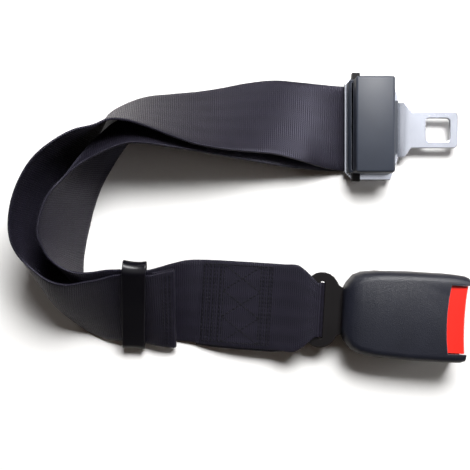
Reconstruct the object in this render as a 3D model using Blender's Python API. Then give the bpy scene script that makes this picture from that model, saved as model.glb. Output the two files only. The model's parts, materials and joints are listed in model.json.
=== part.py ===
"""Seat belt extender: a strap with a steel tongue and adjuster at one end and a buckle at the other.

Metres, +Z up. The extender lies on the plane z = 0, with its origin under the middle of its outline. The
strap makes a banked U-turn at -X, standing on its outer edge, and both ends lie towards +X.
"""

import math

import bmesh
import bpy
from mathutils import Matrix, Vector

MM = 0.001
GAP = 0.3 * MM  # between pieces that touch on the real object

# Place of the parts, seen from above, measured from the middle of the camera's view
PLAN_CENTRE = (4.8 * MM, 10.5 * MM)  # middle of the outline, which becomes the part's origin
BAR_PLACE = (45.2 * MM, -41.3 * MM)  # bend of the strap round the anchor plate's bar, the buckle's hinge
BUCKLE_TURN = math.radians(-3.4)
ADJUSTER_Y = 60.3 * MM

# Strap
STRAP_WIDTH = 48.0 * MM
STRAP_THICK = 1.2 * MM
STATION_UNIT = 1.0 * MM  # unit of the stations' places
LAYER_PITCH = STRAP_THICK + GAP  # between the middles of two layers that lie on each other
SEWN_SLOPE = 0.10  # rise of the sewn stretch towards the buckle
SEWN_START = -66.0 * MM  # cut end of the sewn-back strap, along the buckle's axis
SEWN_END = -25.0 * MM
SEWN_END_RISE = 10.2 * MM  # middle of the main strap there
TAIL_SHIFT = 1.4 * MM  # the sewn-back strap lies this much off line
SEWN_TWIST = math.radians(8.5)  # bank of the strap at the cut end, from flat at the twist's start
TWIST_START = -38.0 * MM
BEND_WIDTH = STRAP_WIDTH * 0.625  # the strap is gathered to this in the slot of the anchor plate
LOOP_SAG = 1.1 * MM  # slack under the anchor plate, which lets the buckle tilt up
BEND_RADIUS = 2.0 * MM  # inside radius of the strap's bend round the bar

# Anchor plate
PLATE_THICK = 2.6 * MM
PLATE_MID = 12.0 * MM
PLATE_HEAD_RADIUS = 9.3 * MM
PLATE_NECK_HALF = 12.6 * MM
PLATE_BAR_WIDTH = 8.1 * MM
SLOT_WIDTH = 2.5 * MM
SLOT_HALF = BEND_WIDTH / 2 + 0.8 * MM
PLATE_HEAD_HALF = SLOT_HALF + 5.1 * MM
PLATE_END = 34.0 * MM

# Buckle housing
HOUSING_START = 13.9 * MM
HOUSING_END = 80.6 * MM
HOUSING_HALF = 23.9 * MM
HOUSING_TOP = 25.2 * MM
HOUSING_SPLIT = 12.5 * MM
HOUSING_WALL = 1.9 * MM
MOUTH_HALF = 13.0 * MM
MOUTH_HEIGHT = 5.6 * MM

# Frame, latch and ejector inside the housing
FRAME_THICK = 2.2 * MM
FRAME_HALF = 15.4 * MM
FRAME_START = 19.8 * MM
FRAME_END = 68.0 * MM
FRAME_WALL_TOP = 20.4 * MM
PIN_RADIUS = 1.2 * MM
PIN_X = 36.5 * MM
PIN_RISE = 18.0 * MM
PIN_CLEARANCE = 0.2 * MM
LATCH_THICK = 1.8 * MM
LATCH_HALF = FRAME_HALF - FRAME_THICK - 2 * GAP
LATCH_REACH = 21.0 * MM
LATCH_TIP_RISE = 14.4 * MM
EJECTOR_X = 50.3 * MM
EJECTOR_LENGTH = 7.5 * MM
EJECTOR_HALF = 8.0 * MM
EJECTOR_HEIGHT = 2.7 * MM
EJECTOR_TRAVEL = 10.0 * MM
KEEL_HALF = 2.6 * MM
KEEL_DROP = 1.6 * MM
RIVET_RADIUS = 2.0 * MM
RIVET_HEAD_RADIUS = 3.4 * MM
RIVET_HEAD_THICK = 1.2 * MM
RIVET_PLACES = (23.4 * MM, 30.2 * MM)

# Button
BUTTON_HALF = 18.3 * MM
BUTTON_START = 70.6 * MM
BUTTON_TOP = 22.9 * MM
BUTTON_TRAVEL = 5.0 * MM
BUTTON_BOW = 1.4 * MM
BUTTON_ARM_START = 50.0 * MM
BUTTON_ARM_THICK = 2.1 * MM
BUTTON_ARM_HEIGHT = 4.4 * MM
BUTTON_SPRING_LENGTH = 10.6 * MM
SPRING_WIRE = 0.45 * MM  # radius of the wire
SPRING_RADIUS = 1.4 * MM

# Tongue plate and adjuster
TONGUE_THICK = 2.5 * MM
TONGUE_RISE = 3.4 * MM  # underside of the strap frame
TONGUE_FRONT = 61.6 * MM
TONGUE_RAIL = 3.0 * MM
TONGUE_HALF = 29.3 * MM
TONGUE_BACK = 88.7 * MM
TONGUE_CHAMFER = 4.6 * MM
WINDOW_BACK = 86.0 * MM
CRANK_START = 91.2 * MM
CRANK_END = 95.8 * MM
CRANK_RISE = 1.6 * MM
CRANK_HALF = 15.4 * MM
BLADE_END = 125.2 * MM
BLADE_HALF = 10.3 * MM
BLADE_SHIFT = -1.2 * MM
BLADE_CORNER = 2.6 * MM
LATCH_WINDOW = (107.2 * MM, 120.7 * MM)
LATCH_WINDOW_HALF = 6.5 * MM
FLANGE_THICK = 2.0 * MM
BAR_RADIUS = 2.1 * MM
BAR_X = 68.8 * MM
BAR_RISE = 8.6 * MM
BAR_TRAVEL = 1.5 * MM
BAR_END_HALF = 30.2 * MM
BAR_END_LENGTH = 4.4 * MM
BAR_END_SHIFT = 1.3 * MM  # the ends sit this much nearer the front rail than the bar does

# Cover of the adjuster
COVER_FRONT = 63.0 * MM
COVER_FACE = 65.7 * MM
COVER_BACK = 87.6 * MM
COVER_TOP = 21.8 * MM
COVER_HALF = 26.2 * MM
COVER_WALL = 2.0 * MM
COVER_LIP_TOP = 11.2 * MM
COVER_EDGE = 1.3 * MM
COLLAR_LENGTH = 3.6 * MM
COLLAR_HEIGHT = 3.4 * MM

# Keeper
KEEPER_PLACE = (-54.9 * MM, -38.8 * MM, 19.33 * MM)
KEEPER_WIDTH = 12.4 * MM
KEEPER_WALL = 1.2 * MM
KEEPER_INNER = 7.2 * MM
KEEPER_BANK = math.radians(35.0)
KEEPER_TURN = math.radians(-4.6)
KEEPER_SLACK = 11.4 * MM
KEEPER_LENGTH = STRAP_WIDTH + KEEPER_SLACK

# Stitching
THREAD = 0.7 * MM
THREAD_LIFT = 0.16 * MM


def clear_scene():
    for item in list(bpy.data.objects):
        bpy.data.objects.remove(item, do_unlink=True)


def finish(name, colour, roughness, metallic=0.0):
    made = bpy.data.materials.new(name)
    made.use_nodes = True
    shader = made.node_tree.nodes["Principled BSDF"]
    shader.inputs["Base Color"].default_value = (*colour, 1.0)
    shader.inputs["Roughness"].default_value = roughness
    shader.inputs["Metallic"].default_value = metallic
    return made


def empty(name, place, turn=0.0, parent=None):
    made = bpy.data.objects.new(name, None)
    made.location = place
    made.rotation_euler = (0.0, 0.0, turn)
    made.parent = parent
    bpy.context.collection.objects.link(made)
    return made


def add(name, shape, look, parent, origin=(0.0, 0.0, 0.0), drop=0.0):
    """Object of a bmesh, with its origin at a point of the parent's frame, whose own height is drop."""
    bmesh.ops.translate(shape, verts=shape.verts, vec=-Vector(origin))
    bmesh.ops.recalc_face_normals(shape, faces=shape.faces)
    mesh = bpy.data.meshes.new(name)
    shape.to_mesh(mesh)
    shape.free()
    made = bpy.data.objects.new(name, mesh)
    made.location = Vector(origin) - Vector((0.0, 0.0, drop))
    made.parent = parent
    if look:
        mesh.materials.append(look)
        mesh.shade_smooth()
        mesh.set_sharp_from_angle(angle=math.radians(32))
    bpy.context.collection.objects.link(made)
    return made


def cut(target, tool, operation="DIFFERENCE"):
    tool.hide_render = True
    tool.display_type = "WIRE"
    step = target.modifiers.new(tool.name, "BOOLEAN")
    step.object = tool
    step.operation = operation
    step.solver = "EXACT"


def bevel(target, width, segments=2):
    step = target.modifiers.new("edges", "BEVEL")
    step.width = width
    step.segments = segments
    step.limit_method = "ANGLE"
    step.angle_limit = math.radians(40)


def arc(centre, radius, start, end, steps):
    """Points of an arc in a plane, with both ends. The angles are in degrees."""
    points = []
    for step in range(steps + 1):
        angle = math.radians(start + (end - start) * step / steps)
        points.append((centre[0] + radius * math.cos(angle), centre[1] + radius * math.sin(angle)))
    return points


def rounded(corners, radius, steps=3):
    """Outline with each corner of a convex or concave polygon rounded by a tangent curve."""
    points = []
    count = len(corners)
    for index, corner in enumerate(corners):
        here = Vector(corner)
        before = (Vector(corners[index - 1]) - here).normalized() * radius
        after = (Vector(corners[(index + 1) % count]) - here).normalized() * radius
        for step in range(steps + 1):
            t = step / steps
            point = here + before * (1 - t) ** 2 + after * t ** 2
            points.append((point.x, point.y))
    return points


def box_outline(x0, x1, y0, y1):
    return [(x0, y0), (x1, y0), (x1, y1), (x0, y1)]


def plate(outline, low, high, holes=()):
    """Flat plate with holes: its outline is filled and extruded upwards."""
    shape = bmesh.new()
    edges = []
    for loop in (outline, *holes):
        verts = [shape.verts.new((x, y, low)) for x, y in loop]
        edges += [shape.edges.new((verts[i - 1], verts[i])) for i in range(len(verts))]
    faces = bmesh.ops.triangle_fill(shape, edges=edges, use_beauty=True)["geom"]
    faces = [item for item in faces if isinstance(item, bmesh.types.BMFace)]
    raised = bmesh.ops.extrude_face_region(shape, geom=faces)["geom"]
    moved = [item for item in raised if isinstance(item, bmesh.types.BMVert)]
    bmesh.ops.translate(shape, verts=moved, vec=(0.0, 0.0, high - low))
    shape.faces.ensure_lookup_table()
    return shape


def block(x0, x1, y0, y1, z0, z1):
    return plate(box_outline(x0, x1, y0, y1), z0, z1)


def loft(rings):
    """Closed body through rings of as many points each."""
    shape = bmesh.new()
    rows = [[shape.verts.new(point) for point in ring] for ring in rings]
    for low, high in zip(rows, rows[1:]):
        for i in range(len(low)):
            shape.faces.new((low[i - 1], low[i], high[i], high[i - 1]))
    shape.faces.new(rows[0])
    shape.faces.new(rows[-1])
    return shape


def profile_prism(profile, y0, y1):
    """A profile in X and Z, extruded along Y."""
    return loft([[(x, y, z) for x, z in profile] for y in (y0, y1)])


def turned(profile, centre, axis, steps=16):
    """A profile of (distance along the axis, radius), turned round an axis through the centre."""
    frame = {"X": Matrix.Identity(3), "Y": Matrix.Rotation(math.radians(90), 3, "Z"),
             "Z": Matrix.Rotation(math.radians(-90), 3, "Y")}[axis]
    rings = []
    for along, radius in profile:
        ring = []
        for step in range(steps):
            angle = 2 * math.pi * step / steps
            spoke = Vector((along, radius * math.cos(angle), radius * math.sin(angle)))
            ring.append(Vector(centre) + frame @ spoke)
        rings.append(ring)
    return loft(rings)


def coil(start, axis, length, turns, radius=SPRING_RADIUS, wire=SPRING_WIRE, sides=6, per_turn=10):
    """Coil spring with flat ends, as rings of points along its helix."""
    frame = {"X": Matrix.Identity(3), "Z": Matrix.Rotation(math.radians(-90), 3, "Y")}[axis]
    rings = []
    count = int(turns * per_turn)
    run = length - 2 * wire
    for step in range(count + 1):
        angle = 2 * math.pi * step / per_turn
        out = Vector((0.0, math.cos(angle), math.sin(angle)))
        middle = Vector((wire + run * step / count, 0.0, 0.0)) + out * radius
        ring = []
        for side in range(sides):
            round_wire = 2 * math.pi * side / sides
            offset = Vector((wire * math.sin(round_wire), 0.0, 0.0)) + out * (wire * math.cos(round_wire))
            ring.append(Vector(start) + frame @ (middle + offset))
        rings.append(ring)
    return loft(rings)


# Strap: a station is the strap's outer edge, its middle and its inner edge across one line of the weave.


def flat_station(outer, inner):
    return outer, (outer + inner) / 2, inner


def lean(x, y, z, heading, bank, bow=0.0, bow_heading=0.0):
    """Station by its outer edge in mm, and the direction in degrees in which the inner edge lies from it.

    A bow, in mm, pushes the middle sideways, and the two edges come as much closer as the arc takes up.
    """
    outer = Vector((x, y, z)) * STATION_UNIT
    across = math.cos(math.radians(bank))
    way = Vector((across * math.cos(math.radians(heading)), across * math.sin(math.radians(heading)),
                  math.sin(math.radians(bank))))
    sag = bow * STATION_UNIT
    chord = STRAP_WIDTH - 8 * sag ** 2 / (3 * STRAP_WIDTH)
    side = Vector((math.cos(math.radians(bow_heading)), math.sin(math.radians(bow_heading)), 0.0))
    inner = outer + way * chord
    return outer, (outer + inner) / 2 + side * sag, inner


def across_station(station, share):
    """Point at a share of the way from the outer edge to the inner edge."""
    outer, middle, inner = station
    rest = 1 - share
    return outer * (rest * (1 - 2 * share)) + middle * (4 * share * rest) + inner * (share * (2 * share - 1))


def buckle_point(x, y, z):
    """Point of the buckle's frame, seen in the plan's frame."""
    turn = Matrix.Rotation(BUCKLE_TURN, 3, "Z")
    return Vector((*BAR_PLACE, 0.0)) + turn @ Vector((x, y, z))


def sewn_rise(x):
    return SEWN_END_RISE + (x - SEWN_END) * SEWN_SLOPE


def sewn_point(x, y, lift):
    """Point over the middle of the sewn strap, which twists from the buckle's plane to its bank."""
    bank = SEWN_TWIST * max(0.0, (TWIST_START - x) / (TWIST_START - SEWN_START)) ** 2
    rise = y * math.sin(bank) + lift * math.cos(bank)
    return buckle_point(x, y * math.cos(bank) - lift * math.sin(bank), sewn_rise(x) + rise)


def sewn_station(x, lift=0.0, shift=0.0):
    half = STRAP_WIDTH / 2
    return flat_station(sewn_point(x, shift - half, lift), sewn_point(x, shift + half, lift))


def buckle_station(x, z, width, shift=0.0):
    return flat_station(buckle_point(x, shift - width / 2, z), buckle_point(x, shift + width / 2, z))


def adjuster_station(x, z):
    half = STRAP_WIDTH / 2
    return flat_station(Vector((x, ADJUSTER_Y + half, z)), Vector((x, ADJUSTER_Y - half, z)))


def gathered(x):
    """Width of the strap near the slot: full behind the plate's head, gathered in the slot."""
    start = -PLATE_BAR_WIDTH - 2.4 * MM
    share = min(max((x - start) / (-start), 0.0), 1.0)
    return STRAP_WIDTH + (BEND_WIDTH - STRAP_WIDTH) * share


def buckle_loop():
    """Sewn-back end, under the main strap, round the bar and back on top."""
    bend = BEND_RADIUS + STRAP_THICK / 2
    head = -PLATE_BAR_WIDTH + PLATE_THICK / 2
    sewn = [SEWN_START + (SEWN_END - SEWN_START) * step / 10 for step in range(11)]
    stations = [sewn_station(x, -LAYER_PITCH, -TAIL_SHIFT) for x in sewn]
    low = sewn_rise(SEWN_END) - LAYER_PITCH
    for x, sag in ((-16 * MM, LOOP_SAG * 0.7), (head, LOOP_SAG)):
        stations.append(buckle_station(x, low - sag, gathered(x), -TAIL_SHIFT / 2))
    for x, z in arc((0.0, PLATE_MID), bend, -110, 92, 9):
        stations.append(buckle_station(x, z, BEND_WIDTH))
    top = PLATE_MID + bend
    for x, share, bulge in ((head, 0.04, 1.0), (head - 5 * MM, 0.25, 0.9), (-19 * MM, 0.68, 0.4)):
        rise = top + (sewn_rise(SEWN_END) - top) * share + bulge * LOOP_SAG
        stations.append(buckle_station(x, rise, gathered(x)))
    stations += [sewn_station(x) for x in reversed(sewn[1:])]
    stations.append(sewn_station(SEWN_START + 0.5 * MM))
    return stations


def inner_layer():
    """Main strap from the sewn stretch, on its outer edge round the U-turn, and under the top arm."""
    return [
        lean(-27, -60.4, 2.0, 89, 14),
        lean(-34, -59.9, 1.2, 89, 21.5),
        lean(-40.5, -59.3, 1.8, 90, 29),
        lean(-46, -58.7, 3.3, 90, 33.5),
        lean(-50, -58.4, 3.9, 90, 35),
        lean(-56, -58, 4.0, 90, 35),
        lean(-63, -57.4, 3.6, 91, 35.5),
        lean(-68, -55.4, 2.4, 92.5, 40),
        lean(-73, -52.2, 1.0, 94, 47),
        lean(-79.5, -45, 0.8, 98, 57),
        lean(-84, -36, 0.8, 107, 64),
        lean(-86.4, -26, 0.8, 121, 69),
        lean(-86.6, -15, 0.8, 141, 71),
        lean(-85.2, -5, 0.8, 163, 70),
        lean(-82.9, 5.7, 0.8, 178, 68),
        lean(-80, 17, 0.8, 187, 67),
        lean(-76, 28, 0.8, 198, 65),
        lean(-70.5, 38, 0.8, 207, 64, 4, 146),
        lean(-64.8, 47, 0.8, 214, 63, 7.5, 143),
        lean(-58.5, 55, 0.8, 224, 62, 9.5, 138),
        lean(-51.5, 62.5, 0.8, 234, 60, 10.5, 135),
        lean(-43.5, 69.5, 0.8, 242, 56.5, 8, 127),
        lean(-34.5, 74.8, 0.8, 248, 51.5, 4, 118),
        lean(-22.5, 78.6, 0.8, 251, 44.5),
        lean(-9, 81.2, 0.8, 254, 37),
        lean(7, 83.2, 0.8, 257, 28),
        lean(22, 84.2, 0.8, 261, 19.5),
        lean(37, 84.3, 0.8, 266, 10.5),
        lean(50, 84.3, 0.8, 268, 4),
    ]


def bar_wrap():
    """Round the lock bar: in under the front rail, up behind the bar, over it and out again."""
    low = 0.8 * MM
    high = low + LAYER_PITCH + 0.1 * MM
    reach = BAR_RADIUS + GAP + STRAP_THICK / 2
    back = BAR_X + BAR_TRAVEL
    side = BAR_X - reach
    path = [(TONGUE_FRONT, low), (TONGUE_FRONT + 4.6 * MM, low + 0.1 * MM), (back - 0.6 * MM, low + 1.2 * MM)]
    path += [(back + reach - 0.7 * MM, BAR_RISE - 3.4 * MM)]
    path += arc((back, BAR_RISE), reach, -8, 90, 4)
    path += arc((BAR_X, BAR_RISE), reach, 90, 180, 4)
    path += [(side, TONGUE_RISE + 1.7 * MM), (side - 0.05 * MM, TONGUE_RISE + 0.3 * MM)]
    path += [(side - 0.4 * MM, high + 0.4 * MM), (side - 1.1 * MM, high + 0.05 * MM)]
    path += [(side - 2.4 * MM, high), (TONGUE_FRONT, high)]
    return [adjuster_station(x, z) for x, z in path]


def outer_layer():
    """Top layer back along the top arm, round the U-turn outside the inner layer, and to the free end."""
    return [
        lean(50, 85.2, 2.5, 270, 7),
        lean(37.6, 86.4, 2.6, 270, 16),
        lean(22.2, 87.6, 2.4, 270, 23.5),
        lean(6.3, 86, 2.0, 270, 30.5),
        lean(-7.4, 83.4, 1.6, 270, 38),
        lean(-21, 81.4, 1.0, 272, 45),
        lean(-36.5, 80, 0.8, 277, 53),
        lean(-50.5, 78.4, 0.8, 283, 61),
        lean(-63, 74, 0.8, 296, 69),
        lean(-72, 68.3, 0.8, 310, 75),
        lean(-75.2, 62.2, 0.8, 298, 81),
        lean(-80.5, 52.5, 0.8, 165, 88),
        lean(-86, 43, 0.8, 152, 80),
        lean(-91, 32.5, 0.8, 151, 73.5),
        lean(-93.6, 21.5, 0.8, 153, 68),
        lean(-93.8, 11, 0.8, 158, 62.5),
        lean(-92.9, 1, 0.8, 162, 58.6),
        lean(-91.8, -8, 0.8, 161, 56.6),
        lean(-91.4, -17.5, 0.8, 153, 56.3),
        lean(-91.8, -27.5, 0.8, 140, 57, 2, 225),
        lean(-92.5, -37.5, 0.8, 121, 60, 4.5, 220),
        lean(-90.8, -46.5, 0.8, 103, 59.5, 5, 218),
        lean(-86, -53, 0.8, 93, 54.5, 4, 216),
        lean(-79.5, -56.7, 0.9, 89, 47.5, 2, 220),
        lean(-71.5, -58.8, 2.9, 90, 42),
        lean(-63, -59.6, 4.6, 90.5, 36.5),
        lean(-55.5, -60.1, 4.9, 90.5, 35),
        lean(-50, -60.8, 5.4, 90, 34.5),
    ]


def flap():
    """Free end of the top layer, from the far end of its hem."""
    return [
        lean(-44.4, -62.0, 6.2, 90, 31.8),
        lean(-39.4, -62.9, 6.0, 90, 27),
        lean(-34.6, -63.5, 5.4, 89.5, 22.5),
    ]


def hem():
    """The free end is folded back under itself, to the start of the flap."""
    last = flap()
    fold = LAYER_PITCH / 2 + GAP
    stations = []
    for angle in (60, 30, 0, -30, -60):
        slide = fold * math.cos(math.radians(angle))
        stations.append(offset_station(last[-1], last[-2], slide, fold * (math.sin(math.radians(angle)) - 1)))
    stations.append(offset_station(last[-1], last[-2], 0.0, -2 * fold))
    stations.append(offset_station(last[-2], last[-3], 0.0, -2 * fold))
    stations.append(offset_station(last[-3], last[-2], 0.0, -2 * fold))
    return stations


def offset_station(station, neighbour, slide, lift):
    """Station moved on in the plane of the strap and up from it."""
    along = (station[0] - neighbour[0]).normalized()
    normal = (station[-1] - station[0]).cross(along).normalized()
    if normal.z < 0:
        normal = -normal
    return tuple(edge + along * slide + normal * lift for edge in station)


def strap_stations():
    return buckle_loop() + inner_layer() + bar_wrap() + outer_layer() + flap() + hem()


def catmull(before, start, end, after, share):
    """Point on a centripetal curve from start to end."""
    times = [0.0]
    for a, b in ((before, start), (start, end), (end, after)):
        times.append(times[-1] + max((b - a).length, 1e-7) ** 0.5)
    t0, t1, t2, t3 = times
    t = t1 + (t2 - t1) * share
    a1 = before * ((t1 - t) / (t1 - t0)) + start * ((t - t0) / (t1 - t0))
    a2 = start * ((t2 - t) / (t2 - t1)) + end * ((t - t1) / (t2 - t1))
    a3 = end * ((t3 - t) / (t3 - t2)) + after * ((t - t2) / (t3 - t2))
    b1 = a1 * ((t2 - t) / (t2 - t0)) + a2 * ((t - t0) / (t2 - t0))
    b2 = a2 * ((t3 - t) / (t3 - t1)) + a3 * ((t - t1) / (t3 - t1))
    return b1 * ((t2 - t) / (t2 - t1)) + b2 * ((t - t1) / (t2 - t1))


def smooth_stations(stations, step):
    """Stations at most one step apart, on smooth curves through the given edges."""
    result = []
    last = len(stations) - 1
    for i in range(last):
        around = (stations[max(i - 1, 0)], stations[i], stations[i + 1], stations[min(i + 2, last)])
        length = max((around[2][edge] - around[1][edge]).length for edge in (0, 2))
        parts = max(1, math.ceil(length / step))
        for part in range(parts):
            share = part / parts
            pair = []
            for edge in (0, 1, 2):
                points = [station[edge] for station in around]
                if i == 0:
                    points[0] = points[1] * 2 - points[2]
                if i + 1 == last:
                    points[3] = points[2] * 2 - points[1]
                pair.append(catmull(*points, share))
            result.append(tuple(pair))
    result.append(stations[last])
    return result


def make_webbing(look, parent):
    shape = bmesh.new()
    lanes = 4
    rows = []
    for station in smooth_stations(strap_stations(), 4.5 * MM):
        rows.append([shape.verts.new(across_station(station, lane / lanes)) for lane in range(lanes + 1)])
    for low, high in zip(rows, rows[1:]):
        for lane in range(lanes):
            shape.faces.new((low[lane], low[lane + 1], high[lane + 1], high[lane]))
    made = add("webbing", shape, look, parent)
    wall = made.modifiers.new("thickness", "SOLIDIFY")
    wall.thickness = STRAP_THICK
    wall.offset = 0.0
    wall.use_even_offset = True
    return made


def inset(polygon, width):
    """Convex polygon, counter-clockwise, with each side moved inwards."""
    lines = []
    for start, end in zip(polygon, polygon[1:] + polygon[:1]):
        way = (Vector(end) - Vector(start)).normalized()
        lines.append((Vector(start) + Vector((-way.y, way.x)) * width, way))
    corners = []
    for (here, way), (there, turn) in zip(lines[-1:] + lines[:-1], lines):
        corners.append(here + way * ((there - here).cross(turn) / way.cross(turn)))
    return corners


def divided(polygon, step):
    """Polygon with points added on its long sides, so that it can follow a twisted strap."""
    points = []
    for start, end in zip(polygon, polygon[1:] + polygon[:1]):
        start = Vector(start)
        parts = max(1, math.ceil((Vector(end) - start).length / step))
        points += [tuple(start.lerp(Vector(end), part / parts)) for part in range(parts)]
    return points


def thread_net(outline, meshes):
    """Flat net of thread: an outline, and the open meshes that the thread leaves between its lines."""
    step = 6 * MM
    holes = [divided(inset(mesh, THREAD / 2), step) for mesh in meshes]
    return plate(divided(inset(outline, -THREAD / 2), step), 0.0, THREAD, holes)


def make_box_stitching(look, parent):
    """Sewn box: columns at each end and a zigzag pair that crosses three times between them."""
    half = STRAP_WIDTH / 2 - 2.2 * MM
    left_columns = (-63.4 * MM, -59.7 * MM, -56 * MM, -52.3 * MM)
    right_columns = (-31.6 * MM, -28.4 * MM, -25.4 * MM)
    left = left_columns[-1]
    right = right_columns[0]
    levels = [-half + 2 * half * i / 3 for i in range(4)]
    crossings = [((left + right) / 2, (low + high) / 2) for low, high in zip(levels, levels[1:])]
    meshes = []
    for columns in (left_columns, right_columns):
        meshes += [box_outline(x0, x1, -half, half) for x0, x1 in zip(columns, columns[1:])]
    for low, high, crossing in zip(levels, levels[1:], crossings):
        meshes.append([(left, low), crossing, (left, high)])
        meshes.append([(right, low), (right, high), crossing])
    for level, below, above in zip(levels[1:], crossings, crossings[1:]):
        meshes.append([(left, level), below, (right, level), above])
    meshes.append([(left, -half), (right, -half), crossings[0]])
    meshes.append([(right, half), (left, half), crossings[2]])
    shape = thread_net(box_outline(left_columns[0], right_columns[-1], -half, half), meshes)
    lift = STRAP_THICK / 2 + THREAD_LIFT
    for vert in shape.verts:
        vert.co = sewn_point(vert.co.x, vert.co.y, vert.co.z + lift)
    return add("box_stitching", shape, look, parent)


def make_hem_stitching(look, parent):
    """Two rows of thread across the hem."""
    stations = smooth_stations(flap(), 1.6 * MM)[-4:-1]
    run = (stations[2][0] - stations[0][0]).length
    edge = 1.8 * MM
    outline = box_outline(0.0, run, edge, STRAP_WIDTH - edge)
    shape = thread_net(outline, [outline])
    for vert in shape.verts:
        share = vert.co.x / run
        station = tuple(low.lerp(high, share) for low, high in zip(stations[0], stations[2]))
        ahead = tuple(high * 2 - low for low, high in zip(stations[0], stations[2]))
        lift = vert.co.z + STRAP_THICK / 2 + THREAD_LIFT
        vert.co = across_station(offset_station(station, ahead, 0.0, lift), vert.co.y / STRAP_WIDTH)
    return add("hem_stitching", shape, look, parent)


def make_keeper(look, parent):
    """Flat loop of flexible band round both layers, banked with them."""
    inner_half = KEEPER_INNER / 2
    half = KEEPER_LENGTH / 2 - KEEPER_WALL
    loops = []
    for grow in (KEEPER_WALL, 0.0):
        h = inner_half + grow
        end = half - inner_half
        loops.append(arc((end, 0.0), h, -90, 90, 6) + arc((-end, 0.0), h, 90, 270, 6))
    shape = plate(loops[0], -KEEPER_WIDTH / 2, KEEPER_WIDTH / 2, holes=(loops[1],))
    stand = Matrix(((0, 0, 1), (1, 0, 0), (0, 1, 0))).to_4x4()
    bank = Matrix.Rotation(KEEPER_BANK, 4, "X")
    turn = Matrix.Rotation(KEEPER_TURN, 4, "Z")
    centre = Vector(KEEPER_PLACE)
    bmesh.ops.transform(shape, matrix=Matrix.Translation(centre) @ bank @ turn @ stand, verts=shape.verts)
    return add("keeper", shape, look, parent, centre)


def make_tongue_plate(look, parent):
    """One stamped plate: strap frame with down-turned sides, crank and blade."""
    y = ADJUSTER_Y
    blade = y + BLADE_SHIFT
    outline = [
        (TONGUE_FRONT, y - TONGUE_HALF + TONGUE_CHAMFER),
        (TONGUE_FRONT + TONGUE_CHAMFER, y - TONGUE_HALF),
        (TONGUE_BACK - 1.2 * MM, y - TONGUE_HALF),
        (CRANK_START, y - CRANK_HALF - 4 * MM),
        (CRANK_START + 0.6 * MM, blade - CRANK_HALF),
        (CRANK_END - 0.4 * MM, blade - CRANK_HALF),
        (CRANK_END + 3.2 * MM, blade - BLADE_HALF),
        *arc((BLADE_END - BLADE_CORNER, blade - BLADE_HALF + BLADE_CORNER), BLADE_CORNER, -90, 0, 4),
        *arc((BLADE_END - BLADE_CORNER, blade + BLADE_HALF - BLADE_CORNER), BLADE_CORNER, 0, 90, 4),
        (CRANK_END + 3.2 * MM, blade + BLADE_HALF),
        (CRANK_END - 0.4 * MM, blade + CRANK_HALF),
        (CRANK_START + 0.6 * MM, blade + CRANK_HALF),
        (CRANK_START, y + CRANK_HALF + 4 * MM),
        (TONGUE_BACK - 1.2 * MM, y + TONGUE_HALF),
        (TONGUE_FRONT + TONGUE_CHAMFER, y + TONGUE_HALF),
        (TONGUE_FRONT, y + TONGUE_HALF - TONGUE_CHAMFER),
    ]
    half = STRAP_WIDTH / 2 + 2 * GAP
    strap_window = rounded(box_outline(TONGUE_FRONT + TONGUE_RAIL, WINDOW_BACK, y - half, y + half), 1.0 * MM)
    latch_window = rounded(
        box_outline(*LATCH_WINDOW, blade - LATCH_WINDOW_HALF, blade + LATCH_WINDOW_HALF), 2.2 * MM)
    shape = plate(outline, TONGUE_RISE, TONGUE_RISE + TONGUE_THICK, holes=(strap_window, latch_window))
    for x in (CRANK_START, CRANK_END):
        everything = shape.verts[:] + shape.edges[:] + shape.faces[:]
        bmesh.ops.bisect_plane(shape, geom=everything, plane_co=(x, 0, 0), plane_no=(1, 0, 0), dist=1e-7)
    for vert in shape.verts:
        share = (vert.co.x - CRANK_START) / (CRANK_END - CRANK_START)
        vert.co.z += CRANK_RISE * min(max(share, 0.0), 1.0)
    made = add("tongue_plate", shape, look, parent)
    for side, name in ((-1, "near"), (1, "far")):
        outer = y + side * TONGUE_HALF
        inner = outer - side * FLANGE_THICK
        flange = block(TONGUE_FRONT + TONGUE_CHAMFER + 1.0 * MM, TONGUE_BACK - 3.0 * MM, min(outer, inner),
                       max(outer, inner), 0.0, TONGUE_RISE + TONGUE_THICK / 2)
        cut(made, add(f"flange_{name}", flange, None, parent), "UNION")
    return made


def make_lock_bar(look, parent):
    """Round bar with flat ends that ride on the side rails of the tongue plate."""
    y = ADJUSTER_Y
    half = STRAP_WIDTH / 2 + GAP
    rail_top = TONGUE_RISE + TONGUE_THICK + GAP
    end = BAR_END_HALF
    middle = BAR_X - BAR_END_SHIFT
    profile = [(-half - 1.0 * MM, BAR_RADIUS), (half + 1.0 * MM, BAR_RADIUS)]
    made = add("lock_bar", turned(profile, (BAR_X, y, BAR_RISE), "Y", 14), look, parent, (BAR_X, y, BAR_RISE))
    for side, name in ((-1, "near"), (1, "far")):
        near = y + side * half
        far = y + side * end
        tab = block(middle - BAR_END_LENGTH / 2, middle + BAR_END_LENGTH / 2, min(near, far), max(near, far),
                    rail_top, BAR_RISE + BAR_RADIUS - 0.4 * MM)
        cut(made, add(f"bar_end_{name}", tab, None, parent), "UNION")
    return made


def cover_profile():
    """Side view of the cover: a rounded lip over the front rail, a groove and a square body above it."""
    front = COVER_FRONT
    face = COVER_FACE
    back = COVER_BACK
    top = COVER_TOP
    bottom = TONGUE_RISE + TONGUE_THICK + GAP
    lip = COVER_LIP_TOP
    return [
        (front, bottom),
        (front, lip - 1.6 * MM),
        (front + 0.5 * MM, lip - 0.4 * MM),
        (front + 1.6 * MM, lip + 0.3 * MM),
        (face - 0.3 * MM, lip + 0.9 * MM),
        (face, lip + 2.0 * MM),
        (face, top),
        (back - 0.6 * MM, top),
        (back, bottom),
    ]


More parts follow.
